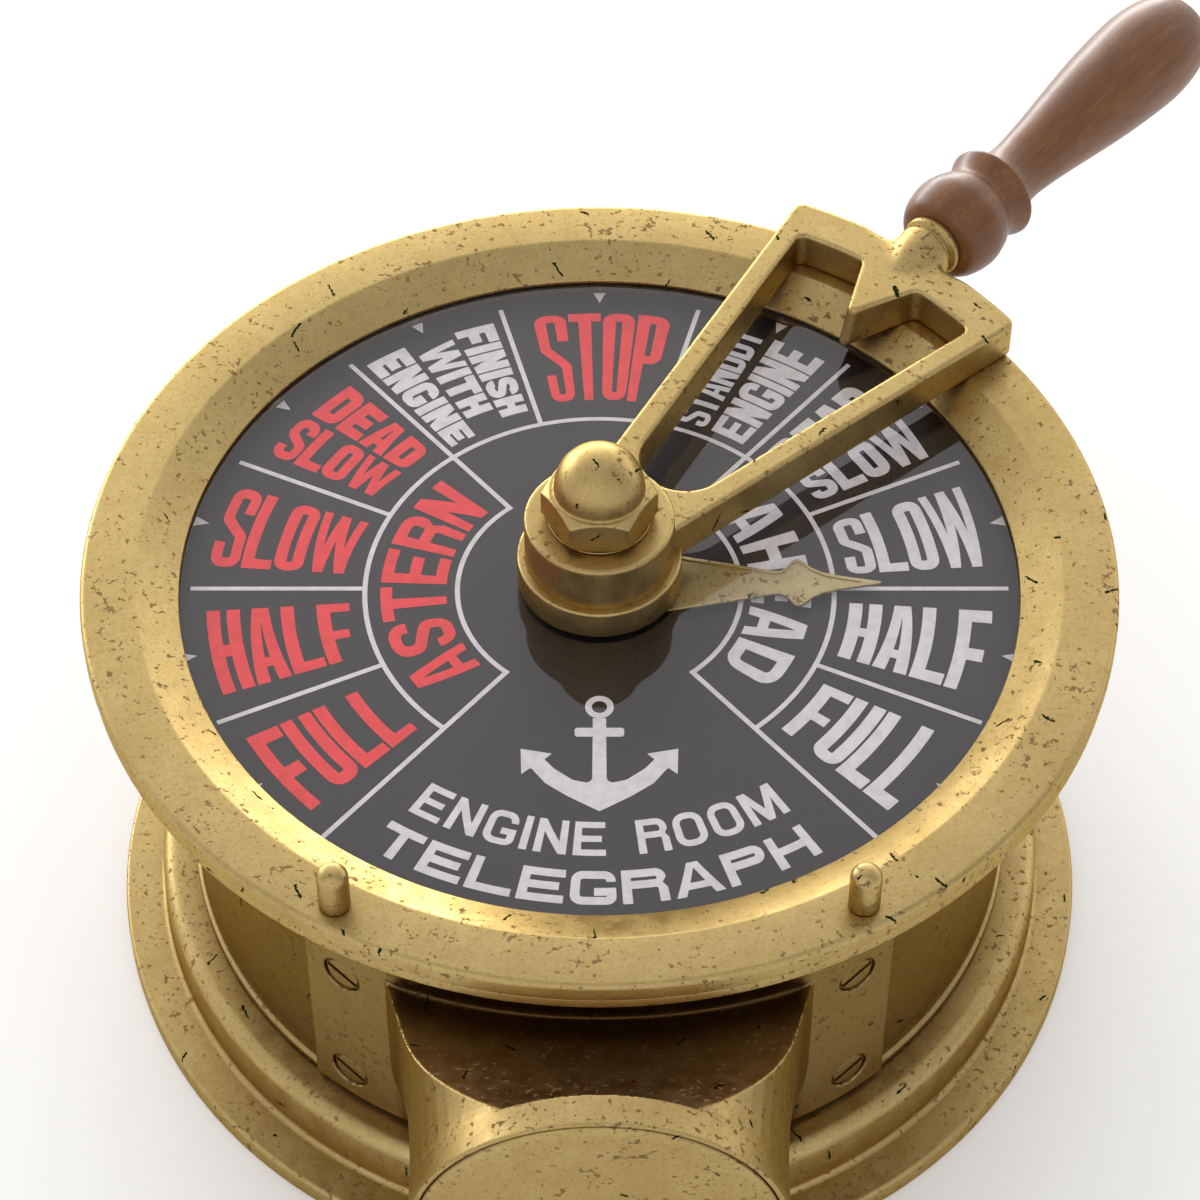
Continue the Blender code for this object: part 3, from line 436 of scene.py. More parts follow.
# The drum's brass gets the strongest painted shade on its waist, and the neck's brass painted light in its hollow.
CASING_BRASS = brass("casing_brass", 0.86)
NECK_BRASS = brass("neck_brass", 0.58, hollow_lightening=0.85)
POINTER_BRASS = brass("pointer_brass", 0.0, 0.42, POINTER_LIGHT, POINTER_DEEP)
BRONZE = plain_metal("bearing_bronze", (0.42, 0.24, 0.11), 0.42)
STEEL = plain_metal("bright_steel", (0.50, 0.50, 0.51), 0.34)
ENAMEL = enamel("black_enamel")
WHITE_INK = ink("white_lettering", (0.76, 0.745, 0.765))
RED_INK = ink("red_lettering", (0.88, 0.040, 0.045))
RUBBER = rubber("seal_rubber")
GLASS = window_glass("window_glass")
WOOD = turned_wood("turned_wood")


# ---- mesh helpers
def ramp(value, start, end):
    """0 at start and before it, rising to 1 at end."""
    return min(1.0, max(0.0, (value - start) / (end - start)))


def polar(radius, degrees):
    return radius * math.cos(math.radians(degrees)), radius * math.sin(math.radians(degrees))


def arc(centre, radius, start, end, steps):
    points = []
    for k in range(steps + 1):
        x, y = polar(radius, start + (end - start) * k / steps)
        points.append((centre[0] + x, centre[1] + y))
    return points


def place(name, mesh):
    obj = bpy.data.objects.new(name, mesh)
    bpy.context.scene.collection.objects.link(obj)
    return obj


def from_bmesh(name, bm):
    bmesh.ops.recalc_face_normals(bm, faces=bm.faces)
    mesh = bpy.data.meshes.new(name)
    bm.to_mesh(mesh)
    bm.free()
    return place(name, mesh)


def settle(obj):
    """Makes the modifiers' result the object's own mesh."""
    bpy.context.view_layer.update()
    graph = bpy.context.evaluated_depsgraph_get()
    mesh = bpy.data.meshes.new_from_object(obj.evaluated_get(graph))
    obj.modifiers.clear()
    obj.data = mesh
    return obj


def eased(corners, closed=True, steps=5):
    """An outline of (x, y) or (x, y, radius) corners, with each corner that has a radius rounded to it."""
    points = []
    count = len(corners)
    for k, corner in enumerate(corners):
        here = Vector(corner[:2])
        radius = corner[2] if len(corner) > 2 else 0.0
        if radius <= 0 or (not closed and k in (0, count - 1)):
            points.append(tuple(here))
            continue
        before = (Vector(corners[k - 1][:2]) - here).normalized()
        after = (Vector(corners[(k + 1) % count][:2]) - here).normalized()
        half = before.angle(after) / 2
        if half > math.radians(89.0):
            points.append(tuple(here))
            continue
        reach = radius / math.tan(half)
        centre = here + (before + after).normalized() * radius / math.sin(half)
        first, last = here + before * reach - centre, here + after * reach - centre
        swing = first.angle_signed(last)
        for step in range(steps + 1):
            points.append(tuple(centre + Matrix.Rotation(-swing * step / steps, 2) @ first))
    return points


def turned(name, profile, steps=192):
    """A turned piece from an eased (radius, height) profile, about +Z."""
    bm = bmesh.new()
    closed = profile[0][0] > 0 or profile[-1][0] > 0
    verts = [bm.verts.new((radius * MM, 0.0, height * MM)) for radius, height in eased(profile, closed)]
    edges = [bm.edges.new(pair) for pair in zip(verts, verts[1:])]
    if closed:
        edges.append(bm.edges.new((verts[-1], verts[0])))
    bmesh.ops.spin(
        bm, geom=verts + edges, cent=(0, 0, 0), axis=(0, 0, 1), angle=math.tau, steps=steps, use_merge=True
    )
    bmesh.ops.remove_doubles(bm, verts=bm.verts, dist=0.000002)
    return from_bmesh(name, bm)


def plate(name, outlines, bottom, top, edge=0.0, edge_steps=3):
    """A flat outline with its holes, its top and bottom edges rounded by edge."""
    curve = bpy.data.curves.new(name, "CURVE")
    curve.dimensions = "2D"
    curve.fill_mode = "BOTH"
    curve.extrude = ((top - bottom) / 2 - edge) * MM
    if edge:
        curve.bevel_depth = edge * MM
        curve.bevel_resolution = edge_steps
        curve.offset = -edge * MM
    for outline in outlines:
        spline = curve.splines.new("POLY")
        spline.points.add(len(outline) - 1)
        for point, (x, y) in zip(spline.points, outline):
            point.co = (x * MM, y * MM, 0.0, 1.0)
        spline.use_cyclic_u = True
    drawn = place(name + "_outline", curve)
    graph = bpy.context.evaluated_depsgraph_get()
    mesh = bpy.data.meshes.new_from_object(drawn.evaluated_get(graph))
    bpy.data.objects.remove(drawn)
    bm = bmesh.new()
    bm.from_mesh(mesh)
    bmesh.ops.remove_doubles(bm, verts=bm.verts, dist=0.000001)
    bmesh.ops.translate(bm, verts=bm.verts, vec=(0, 0, (top + bottom) / 2 * MM))
    return from_bmesh(name, bm)


def rod(name, radius, start, end, sides=64):
    start, end = Vector(start), Vector(end)
    along = end - start
    upright = along.to_track_quat("Z", "Y").to_matrix().to_4x4()
    bm = bmesh.new()
    bmesh.ops.create_cone(
        bm,
        cap_ends=True,
        segments=sides,
        radius1=radius * MM,
        radius2=radius * MM,
        depth=along.length * MM,
        matrix=Matrix.Translation((start + end) / 2 * MM) @ upright,
    )
    return from_bmesh(name, bm)


def block(name, size, centre):
    bm = bmesh.new()
    where = Matrix.Translation(Vector(centre) * MM) @ Matrix.Diagonal((*(Vector(size) * MM), 1.0))
    bmesh.ops.create_cube(bm, size=1.0, matrix=where)
    return from_bmesh(name, bm)


def combine(obj, operation, *others):
    """Unites the others with obj, or cuts them from it."""
    for other in others:
        boolean = obj.modifiers.new("combine", "BOOLEAN")
        boolean.operation = operation
        boolean.solver = "EXACT"
        boolean.object = other
    settle(obj)
    for other in others:
        bpy.data.objects.remove(other)
    return obj


def cast(obj, grain, softening, keep, blend=None):
    """Softens every edge, as a casting has: an even mesh of that grain, smoothed, then thinned to a share.

    blend gives how strongly each point, in millimetres, is smoothed again, where one form runs into another.
    """
    remesh = obj.modifiers.new("even", "REMESH")
    remesh.mode = "VOXEL"
    remesh.voxel_size = grain * MM
    smooth = obj.modifiers.new("soften", "SMOOTH")
    smooth.factor = 0.5
    smooth.iterations = softening
    settle(obj)
    if blend:
        group = obj.vertex_groups.new(name="blend")
        for vert in obj.data.vertices:
            group.add([vert.index], blend(*(vert.co / MM)), "REPLACE")
        smooth = obj.modifiers.new("blend", "SMOOTH")
        smooth.iterations = BLEND_STEPS
        smooth.vertex_group = group.name
        settle(obj)
    thin = obj.modifiers.new("thin", "DECIMATE")
    thin.ratio = keep
    return settle(obj)


def shift(obj, matrix):
    obj.data.transform(matrix)
    return obj


def show(obj, body, material, replaced=(), sharp=30.0):
    """Shades a finished piece, gives it its material and puts it on its body."""
    obj.data.materials.clear()
    obj.data.materials.append(material)
    obj.data.shade_smooth()
    obj.data.set_sharp_from_angle(angle=math.radians(sharp))
    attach(obj, body)
    if replaced:
        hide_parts(*replaced)
    return obj


def turn(degrees, axis="Z"):
    return Matrix.Rotation(math.radians(degrees), 4, axis)


TURN_TO_REST, QUARTER_X, QUARTER_Y = turn(LEVER_REST), turn(90, "X"), turn(90, "Y")


def at(*place_mm):
    return Matrix.Translation(Vector(place_mm) * MM)


# ---- casing
def back_cover():
    profile = [
        (0, 0), (FLANGE_R, 0, 1.4), (FLANGE_R, FLANGE_TOP, 1.6), (STEP_R, FLANGE_TOP, 2.6), (STEP_R, STEP_TOP, 6.0),
        (150, STEP_TOP, 1.0), (150, 6), (22, 6), (22, 30), (14.3, 30), (14.3, 8), (0, 8),
    ]
    cover = turned("rear_cover", profile)
    cutters = []
    for angle in BOLT_ANGLES:
        x, y = polar(BOLT_CIRCLE, angle)
        cutters.append(rod("recess", BOLT_HEAD_R + 0.6, (x, y, -1), (x, y, 4.6), 40))
    combine(cover, "DIFFERENCE", *cutters)
    show(cover, "head", BRASS, ["back_cover"])


def cover_bolts():
    """Slotted cheese-head bolts in the rear cover's recesses."""
    for number, angle in enumerate(BOLT_ANGLES, start=1):
        profile = [(0, 0.6), (BOLT_HEAD_R, 0.6, 0.7), (BOLT_HEAD_R, 4.2, 0.3), (2.5, 4.2), (2.5, 50), (0, 50)]
        bolt = turned(f"rear_cover_bolt_{number}", profile, 48)
        combine(bolt, "DIFFERENCE", block("slot", (16, 1.2, 2.4), (0, 0, 0.6)))
        shift(bolt, at(*polar(BOLT_CIRCLE, angle), 0) @ turn(angle + 63.0 * number))
        show(bolt, "head", STEEL, [f"cover_bolt_{number}"])


def drum():
    profile = [
        (LEDGE_R, RIM_TOP, 0.2), (RIM_R, RIM_TOP, 0.5), (RIM_R, RIM_BOTTOM, 1.3), (179, RIM_BOTTOM, 1.5),
        (170, 170, 6), (162, 160, 8), (DRUM_R, 146, 8), (DRUM_R, DRUM_FOOT + 3.4, 1.2),
        (DRUM_R + 1.5, DRUM_FOOT + 2.4, 0.6), (DRUM_R + 1.5, DRUM_FOOT, 0.5), (146, DRUM_FOOT), (146, 55),
        (DRUM_IN, 61), (DRUM_IN, 170.2), (LEDGE_R, 170.2),
    ]
    show(turned("drum", profile), "head", CASING_BRASS, ["drum_casing"])


def bezel():
    seat = RIM_TOP + 0.3
    profile = [
        (BEZEL_R, seat, 0.5), (BEZEL_R, BEZEL_TOP, 2.2), (BEZEL_CREASE_R, BEZEL_TOP, 3.0),
        (LIP_R, LIP_BOTTOM + 1.5, 0.7), (LIP_R, LIP_BOTTOM, 0.2), (LEDGE_R - 0.8, LIP_BOTTOM, 0.2),
        (LEDGE_R - 0.8, seat, 0.2),
    ]
    show(turned("dial_bezel", profile), "head", BRASS, ["front_bezel"])


def stop_pins():
    """Round-headed pins that stop the lever past FULL ahead and FULL astern."""
    for number, angle in enumerate(PIN_ANGLES, start=1):
        profile = [(0, PIN_FOOT), (3.0, PIN_FOOT), (3.0, BEZEL_TOP + 0.3), (PIN_R, BEZEL_TOP + 0.3, 0.4)]
        profile += [(PIN_R, PIN_TOP, 4.6), (0, PIN_TOP)]
        pin = turned(f"lever_stop_{number}", profile, 64)
        shift(pin, at(*polar(PIN_CIRCLE, angle), 0))
        show(pin, "head", BRASS, [f"stop_pin_{number}"])


# ---- neck
def neck_section(y, count=64):
    """One section of the neck: a circle at its mouth that squares up and widens towards the drum."""
    root = ramp(y, NECK_SHOULDER, NECK_ROOT)
    half_width = NECK_R - 0.2 + ROOT_WIDER * root**2.2
    half_height = NECK_R - 0.2 + ROOT_TALLER * root**2
    power = 2.0 / (2.0 + ROOT_SQUARER * root**2)
    points = []
    for k in range(count):
        across, up = polar(1.0, 360.0 * k / count)
        x = math.copysign(abs(across) ** power, across) * half_width
        z = math.copysign(abs(up) ** power, up) * half_height
        points.append(Vector((x, y, NECK_MIDDLE + z)) * MM)
    return points


def neck_body():
    bm = bmesh.new()
    stations = 16
    depths = [NECK_ROOT + (NECK_SHOULDER - 1.0 - NECK_ROOT) * k / stations for k in range(stations + 1)]
    rings = [[bm.verts.new(point) for point in neck_section(y)] for y in depths]
    for ring, following in zip(rings, rings[1:]):
        for k in range(len(ring)):
            after = (k + 1) % len(ring)
            bm.faces.new((ring[k], ring[after], following[after], following[k]))
    bm.faces.new(rings[0])
    bm.faces.new(rings[-1])
    return from_bmesh("neck_body", bm)


def screw_axis(side, height):
    """Turns +Z to a saddle screw's outward direction, at its height on the drum's axis."""
    x, y = polar(1.0, side * SCREW_ANGLE - 90.0)
    return at(0, 0, height) @ Vector((x, y, 0.0)).to_track_quat("Z", "Y").to_matrix().to_4x4()


SADDLE_SCREWS = [(side, height) for side in (-1, 1) for height in SCREW_HEIGHTS]


def neck_blend(x, y, z):
    """Where the neck's hollow turns up the drum's wall."""
    radius = math.hypot(x, y)
    if radius < 158 or y > 0:
        return 0.0
    return ramp(radius, 180, 172) * ramp(abs(x), 72, 66) * ramp(z, 114, 120)


def strap(name, outer, half_angle, bottom, top):
    """A band of the casting wrapped round the drum."""
    outline = arc((0, 0), outer, -90 - half_angle, -90 + half_angle, 48)
    outline += arc((0, 0), DRUM_R + 0.3, -90 + half_angle, -90 - half_angle, 48)
    return plate(name, [outline], bottom, top)


def neck():
    saddle = strap("neck_casting", EAR_R, EAR_ANGLE, EAR_BOTTOM, EAR_TOP)
    body = neck_body()
    drum_space = rod("drum_space", DRUM_R + 0.35, (0, 0, 0), (0, 0, 200), 160)
    scoop = rod("scoop", SCOOP_R, (-120, SCOOP_Y, SCOOP_Z), (120, SCOOP_Y, SCOOP_Z), 256)
    combine(body, "DIFFERENCE", drum_space, scoop)
    wall = strap("neck_wall", EAR_R + 0.4, WALL_ANGLE, WALL_BOTTOM, WALL_TOP)
    length = NECK_SHOULDER - NECK_MOUTH
    ring = turned("mouth", [(0, 0), (NECK_R, 0), (NECK_R, length), (0, length)])
    shift(ring, at(0, NECK_SHOULDER, NECK_MIDDLE) @ QUARTER_X)
    combine(saddle, "UNION", body, wall, ring)
    bore = rod("bore", CAP_R + 0.35, (0, -225.5, NECK_MIDDLE), (0, -240, NECK_MIDDLE), 160)
    cutters = [bore]
    for side, height in SADDLE_SCREWS:
        recess = rod("recess", SCREW_R + 0.9, (0, 0, EAR_R - 2.2), (0, 0, EAR_R + 3), 48)
        cutters.append(shift(recess, screw_axis(side, height)))
    combine(saddle, "DIFFERENCE", *cutters)
    cast(saddle, 0.5, 4, 0.12, neck_blend)
    show(saddle, "head", NECK_BRASS, ["neck_saddle"], 40.0)


def saddle_screws():
    for number, (side, height) in enumerate(SADDLE_SCREWS, start=1):
        top = EAR_R - 0.8
        profile = [(0, top), (SCREW_R, top, 0.8), (SCREW_R, top - 0.9), (4, top - 2.2), (4, 150), (0, 150)]
        screw = turned(f"slotted_screw_{number}", profile, 64)
        slot = block("slot", (18, 2.1, 2.8), (0, 0, top))
        shift(slot, turn(side * SLOT_SLOPE))
        combine(screw, "DIFFERENCE", slot)
        shift(screw, screw_axis(side, height))
        show(screw, "head", NECK_BRASS, [f"saddle_screw_{number}"])


def cap():
    depth = CAP_BACK - CAP_FACE
    profile = [(0, 0), (CAP_R, 0), (CAP_R, depth - 1.8, 1.4), (CAP_R - 3.5, depth - 1.2, 1.0), (44, depth - 0.5, 40)]
    profile += [(0, depth)]
    piece = turned("neck_end_cap", profile)
    shift(piece, at(0, CAP_BACK, NECK_MIDDLE) @ QUARTER_X)
    show(piece, "head", BRASS, ["neck_cap"])


# ---- order lever
def leg_point(offset, radius, side):
    """Where a leg's edge, offset from the centre line at the shaft, meets a circle round the shaft."""
    along = 1 + LEG_SLOPE**2
    half = offset * LEG_SLOPE
    x = (-half + math.sqrt(half**2 - along * (offset**2 - radius**2))) / along
    return x, side * (offset + LEG_SLOPE * x)


def lever_outline():
    corner = leg_point(LEG_OUTSIDE, BAR_OUT_R, 1)
    spread = math.degrees(math.atan2(corner[1], corner[0]))
    bar = arc((0, 0), BAR_OUT_R, -spread, spread, 24)
    hub = leg_point(LEG_OUTSIDE, HUB_R - 1.5, 1)
    around = math.degrees(math.atan2(hub[1], hub[0]))
    corners = [(*bar[0], 4.0), *bar[1:-1], (*bar[-1], 4.0)]
    return eased(corners + arc((0, 0), HUB_R - 1.5, around, 360 - around, 40))


def lever_window():
    """The opening between the legs, with a tooth that points back at the hub from the cross-bar."""
    corner = leg_point(LEG_INSIDE, BAR_IN_R, 1)
    tooth_x = math.sqrt(BAR_IN_R**2 - TOOTH_HALF**2)
    corner_angle = math.degrees(math.atan2(corner[1], corner[0]))
    tooth_angle = math.degrees(math.atan2(TOOTH_HALF, tooth_x))
    upper = arc((0, 0), BAR_IN_R, corner_angle, tooth_angle, 4)
    lower = arc((0, 0), BAR_IN_R, -tooth_angle, -corner_angle, 4)
    corners = [(*upper[0], 3.4), *upper[1:-1], (*upper[-1], 3.4), (TOOTH_FOOT, 0, 2.4)]
    corners += [(*lower[0], 3.4), *lower[1:-1], (*lower[-1], 3.4)]
    return eased(corners + arc((WEB_CENTRE, 0), WEB_R, -101, -259, 36))


def slope_tooth(frame_piece):
    """Leans the tooth's end back, so that its ridge slopes from the top face down towards the hub."""
    for vert in frame_piece.data.vertices:
        x, y, z = vert.co / MM
        if abs(y) < TOOTH_HALF + 1 and TOOTH_FOOT - 2 < x < BAR_IN_R:
            lean = ramp(x, BAR_IN_R, TOOTH_FOOT) * ramp(z, LEVER_BOTTOM, LEVER_TOP)
            vert.co.x += (TOOTH_TOP - TOOTH_FOOT) * lean * MM


def boss_blend(x, y, z):
    """Where the handle's boss swells out of the cross-bar."""
    above = z - LEVER_BOTTOM
    return ramp(x, 177, 181) * ramp(x, 197.6, 194.6) * ramp(abs(y), 24, 16) * ramp(above, 3, 6)


def lever():
    piece = plate("order_lever", [lever_outline(), lever_window()], LEVER_BOTTOM, LEVER_TOP, 1.5)
    slope_tooth(piece)
    hub = turned("hub", [(0, LEVER_BOTTOM), (HUB_R, LEVER_BOTTOM, 0.5), (HUB_R, HUB_TOP, 1.2), (0, HUB_TOP)], 160)
    bell, steps = [(0, BOSS_START)], 12
    for step in range(steps + 1):
        swell = BOSS_ROOT_R + (BOSS_R - BOSS_ROOT_R) * math.sin(math.pi / 2 * step / steps)
        bell.append((swell, BOSS_START + (BOSS_END - BOSS_START) * step / steps))
    boss = turned("boss", bell + [(BOSS_R, BOSS_END), (0, BOSS_END)], 96)
    shift(boss, at(0, 0, GRIP_HEIGHT) @ QUARTER_Y)
    combine(piece, "UNION", hub, boss)
    combine(piece, "DIFFERENCE", rod("bore", SHAFT_HOLE_R, (0, 0, LEVER_BOTTOM - 5), (0, 0, HUB_TOP + 5), 64))
    cast(piece, 0.55, 3, 0.3, boss_blend)
    shift(piece, TURN_TO_REST)
    show(piece, "order_lever", BRASS, ["lever_frame"], 45.0)


def collar():
    profile = [
        (SHAFT_HOLE_R, COLLAR_BOTTOM), (COLLAR_R, COLLAR_BOTTOM, 0.6), (COLLAR_R, COLLAR_TOP, 1.0),
        (SHAFT_HOLE_R, COLLAR_TOP),
    ]
    show(turned("lever_base_collar", profile), "order_lever", BRASS, ["lever_collar"])


def washer_and_nut():
    profile = [
        (SHAFT_HOLE_R, WASHER_BOTTOM), (WASHER_R, WASHER_BOTTOM, 0.3), (WASHER_R, WASHER_TOP, 0.3),
        (SHAFT_HOLE_R, WASHER_TOP),
    ]
    show(turned("nut_washer", profile, 96), "order_lever", BRASS, ["hub_washer"])
    corners = [polar(NUT_CORNER_R, 60.0 * k) for k in range(6)]
    nut = plate("domed_nut", [corners], NUT_BOTTOM, NUT_HEX_TOP)
    rim, past = NUT_CORNER_R - 2.2, NUT_CORNER_R + 0.1
    chamfer = [
        (0, NUT_BOTTOM - 1), (rim, NUT_BOTTOM - 1), (rim, NUT_BOTTOM), (past, NUT_BOTTOM + 1.8),
        (past, NUT_HEX_TOP - 2.6), (rim - 1.0, NUT_HEX_TOP), (0, NUT_HEX_TOP),
    ]
    combine(nut, "INTERSECT", turned("chamfer", chamfer, 128))
    centre = NUT_CROWN - DOME_R
    dome = [(0, NUT_HEX_TOP - 4), (DOME_R, NUT_HEX_TOP - 4)] + arc((0, centre), DOME_R, 0, 90, 24)
    combine(nut, "UNION", turned("dome", dome, 128))
    combine(nut, "DIFFERENCE", rod("bore", SHAFT_HOLE_R, (0, 0, NUT_BOTTOM - 3), (0, 0, 234), 48))
    cast(nut, 0.4, 3, 0.3)
    show(nut, "order_lever", BRASS, ["acorn_nut"], 50.0)


def along_handle(obj):
    """Takes a piece turned about +Z to the handle's axis, at the lever's resting angle."""
    return shift(obj, TURN_TO_REST @ at(0, 0, GRIP_HEIGHT) @ QUARTER_Y)


def ferrule():
    profile = [
        (4.4, 199.1), (9.8, 199.1, 0.5), (9.6, 200.6, 0.8), (12.0, 202.2, 0.6), (12.6, 203.0, 0.4),
        (12.4, 204.8, 0.5), (4.4, 204.8),
    ]
    piece = along_handle(turned("grip_ferrule", profile, 96))
    show(piece, "order_lever", BRASS, ["handle_ferrule"])


def smooth_profile(points, steps=6):
    """A smooth (Catmull-Rom) curve through (radius, height) points."""
    made = []
    for k in range(len(points) - 1):
        before = Vector(points[max(k - 1, 0)])
        start, end = Vector(points[k]), Vector(points[k + 1])
        after = Vector(points[min(k + 2, len(points) - 1)])
        bend, twist = 2 * before - 5 * start + 4 * end - after, 3 * start - before - 3 * end + after
        for t in (step / steps for step in range(steps)):
            made.append(tuple(0.5 * (2 * start + (end - before) * t + bend * t**2 + twist * t**3)))
    return made + [tuple(points[-1])]


def grip():
    """A turned handle: a ball, a waist and a collar by the ferrule, then a long swelling end."""
    ball = smooth_profile([
        (13.2, 205.3), (16.6, 206.8), (19.0, 210.6), (20.4, 216.5), (20.5, 221.5), (19.2, 227.0),
    ])
    cove = smooth_profile([
        (19.2, 227.0), (17.9, 230.0), (16.6, 232.6), (16.3, 234.4), (17.0, 237.2), (18.6, 240.6),
    ])
    flange = [(19.2, 241.9), (19.4, 242.7), (19.0, 243.6), (17.2, 244.3), (15.2, 245.6)]
    swell = smooth_profile([
        (15.2, 245.6), (13.9, 248.6), (13.0, 252.6), (12.6, 257.5), (12.8, 264.0), (14.3, 279.0),
        (16.8, 298.0), (19.0, 316.0), (20.5, 334.0), (21.05, 346.0), (20.7, 354.0), (19.6, 362.0),
        (17.6, 369.0), (14.6, 373.8), (9.0, 377.2), (3.5, 378.1),
    ])
    profile = [(4.4, 205.1)] + ball + cove[1:] + flange + swell[1:] + [(0, 378.2), (0, 367), (4.4, 367)]
    piece = along_handle(turned("hand_grip", profile, 128))
    show(piece, "order_lever", WOOD, ["wooden_grip"], 60.0)


# ---- reply pointer
def reply_pointer():
    """A flat arrow with a sunk face, so that a narrow border stands up round it."""
    tail_x, tail_y, border, sunk_depth = 20.0, 14.6, 1.5, 0.45
    side = [
        (tail_x, tail_y), (30.0, 13.1), (50.0, 8.9), (63.0, 5.9), (67.0, 5.6, 1.5), (69.5, 7.4), (71.6, 10.6, 1.0),
        (73.6, 11.6, 0.8), (75.4, 10.6, 1.0), (78.6, 7.4), (83.0, 4.9), (90.0, 3.1), (103.4, 0.7), (104.4, 0.3),
    ]
    tail = math.degrees(math.atan2(tail_y, tail_x))
    back = arc((0, 0), math.hypot(tail_x, tail_y), 360 - tail - 10, tail + 10, 40)
    mirrored = [(x, -y, *rest) for x, y, *rest in reversed(side)]
    outline = eased(side + mirrored) + back
    bore = arc((0, 0), 8.6, 0, 350, 35)
    piece = plate("reply_arrow", [outline, bore], POINTER_BOTTOM, POINTER_TOP, 0.3, 2)
    inset = [(x, max(0.3, y - border), *rest) for x, y, *rest in side[:-2]] + [(97.0, 0.3)]
    inset += [(x, -y, *rest) for x, y, *rest in reversed(inset)]
    combine(piece, "DIFFERENCE", plate("inset", [eased(inset)], POINTER_TOP - sunk_depth, POINTER_TOP + 1))
    show(piece, "reply", POINTER_BRASS, ["reply_pointer"], 25.0)


# ---- dial print
# The print is laid out in units of UNIT millimetres from the dial's centre.
UNIT = 0.371
RING_R, INNER_R, SPOKE_END = 234.5, 142.1, 409.0
LINE = 5.0
MARK_TIP, MARK_BASE, MARK_HALF = 406.0, 421.0, 6.5
SPOKE_ANGLES = (-50, -25, 0, 25, 50, 75, 105, 130, 155, 180, 205, 230)
SECTOR_EDGES = (-50, 50, 130, 230)
PRINT_GAP, PRINT_THICKNESS = 0.03, 0.09
CLEARANCE = 0.05
LONGEST_EDGE = 2.0


def ribbon(path, width):
    """The outline of a stroke of even width along a path."""
    points = [Vector(p) for p in eased(path, closed=False, steps=6)]
    left, right = [], []
    for k, point in enumerate(points):
        before = (point - points[k - 1]).normalized() if k else (points[1] - point).normalized()
        after = (points[k + 1] - point).normalized() if k < len(points) - 1 else before
        mean = (before + after).normalized()
        aside = Vector((-mean.y, mean.x)) * (width / 2 / max(0.5, mean.dot(before)))
        left.append(tuple(point + aside))
        right.append(tuple(point - aside))
    return left + right[::-1]


def rounded_box(left, bottom, right, top, corner):
    return eased([(left, bottom, corner), (right, bottom, corner), (right, top, corner), (left, top, corner)])


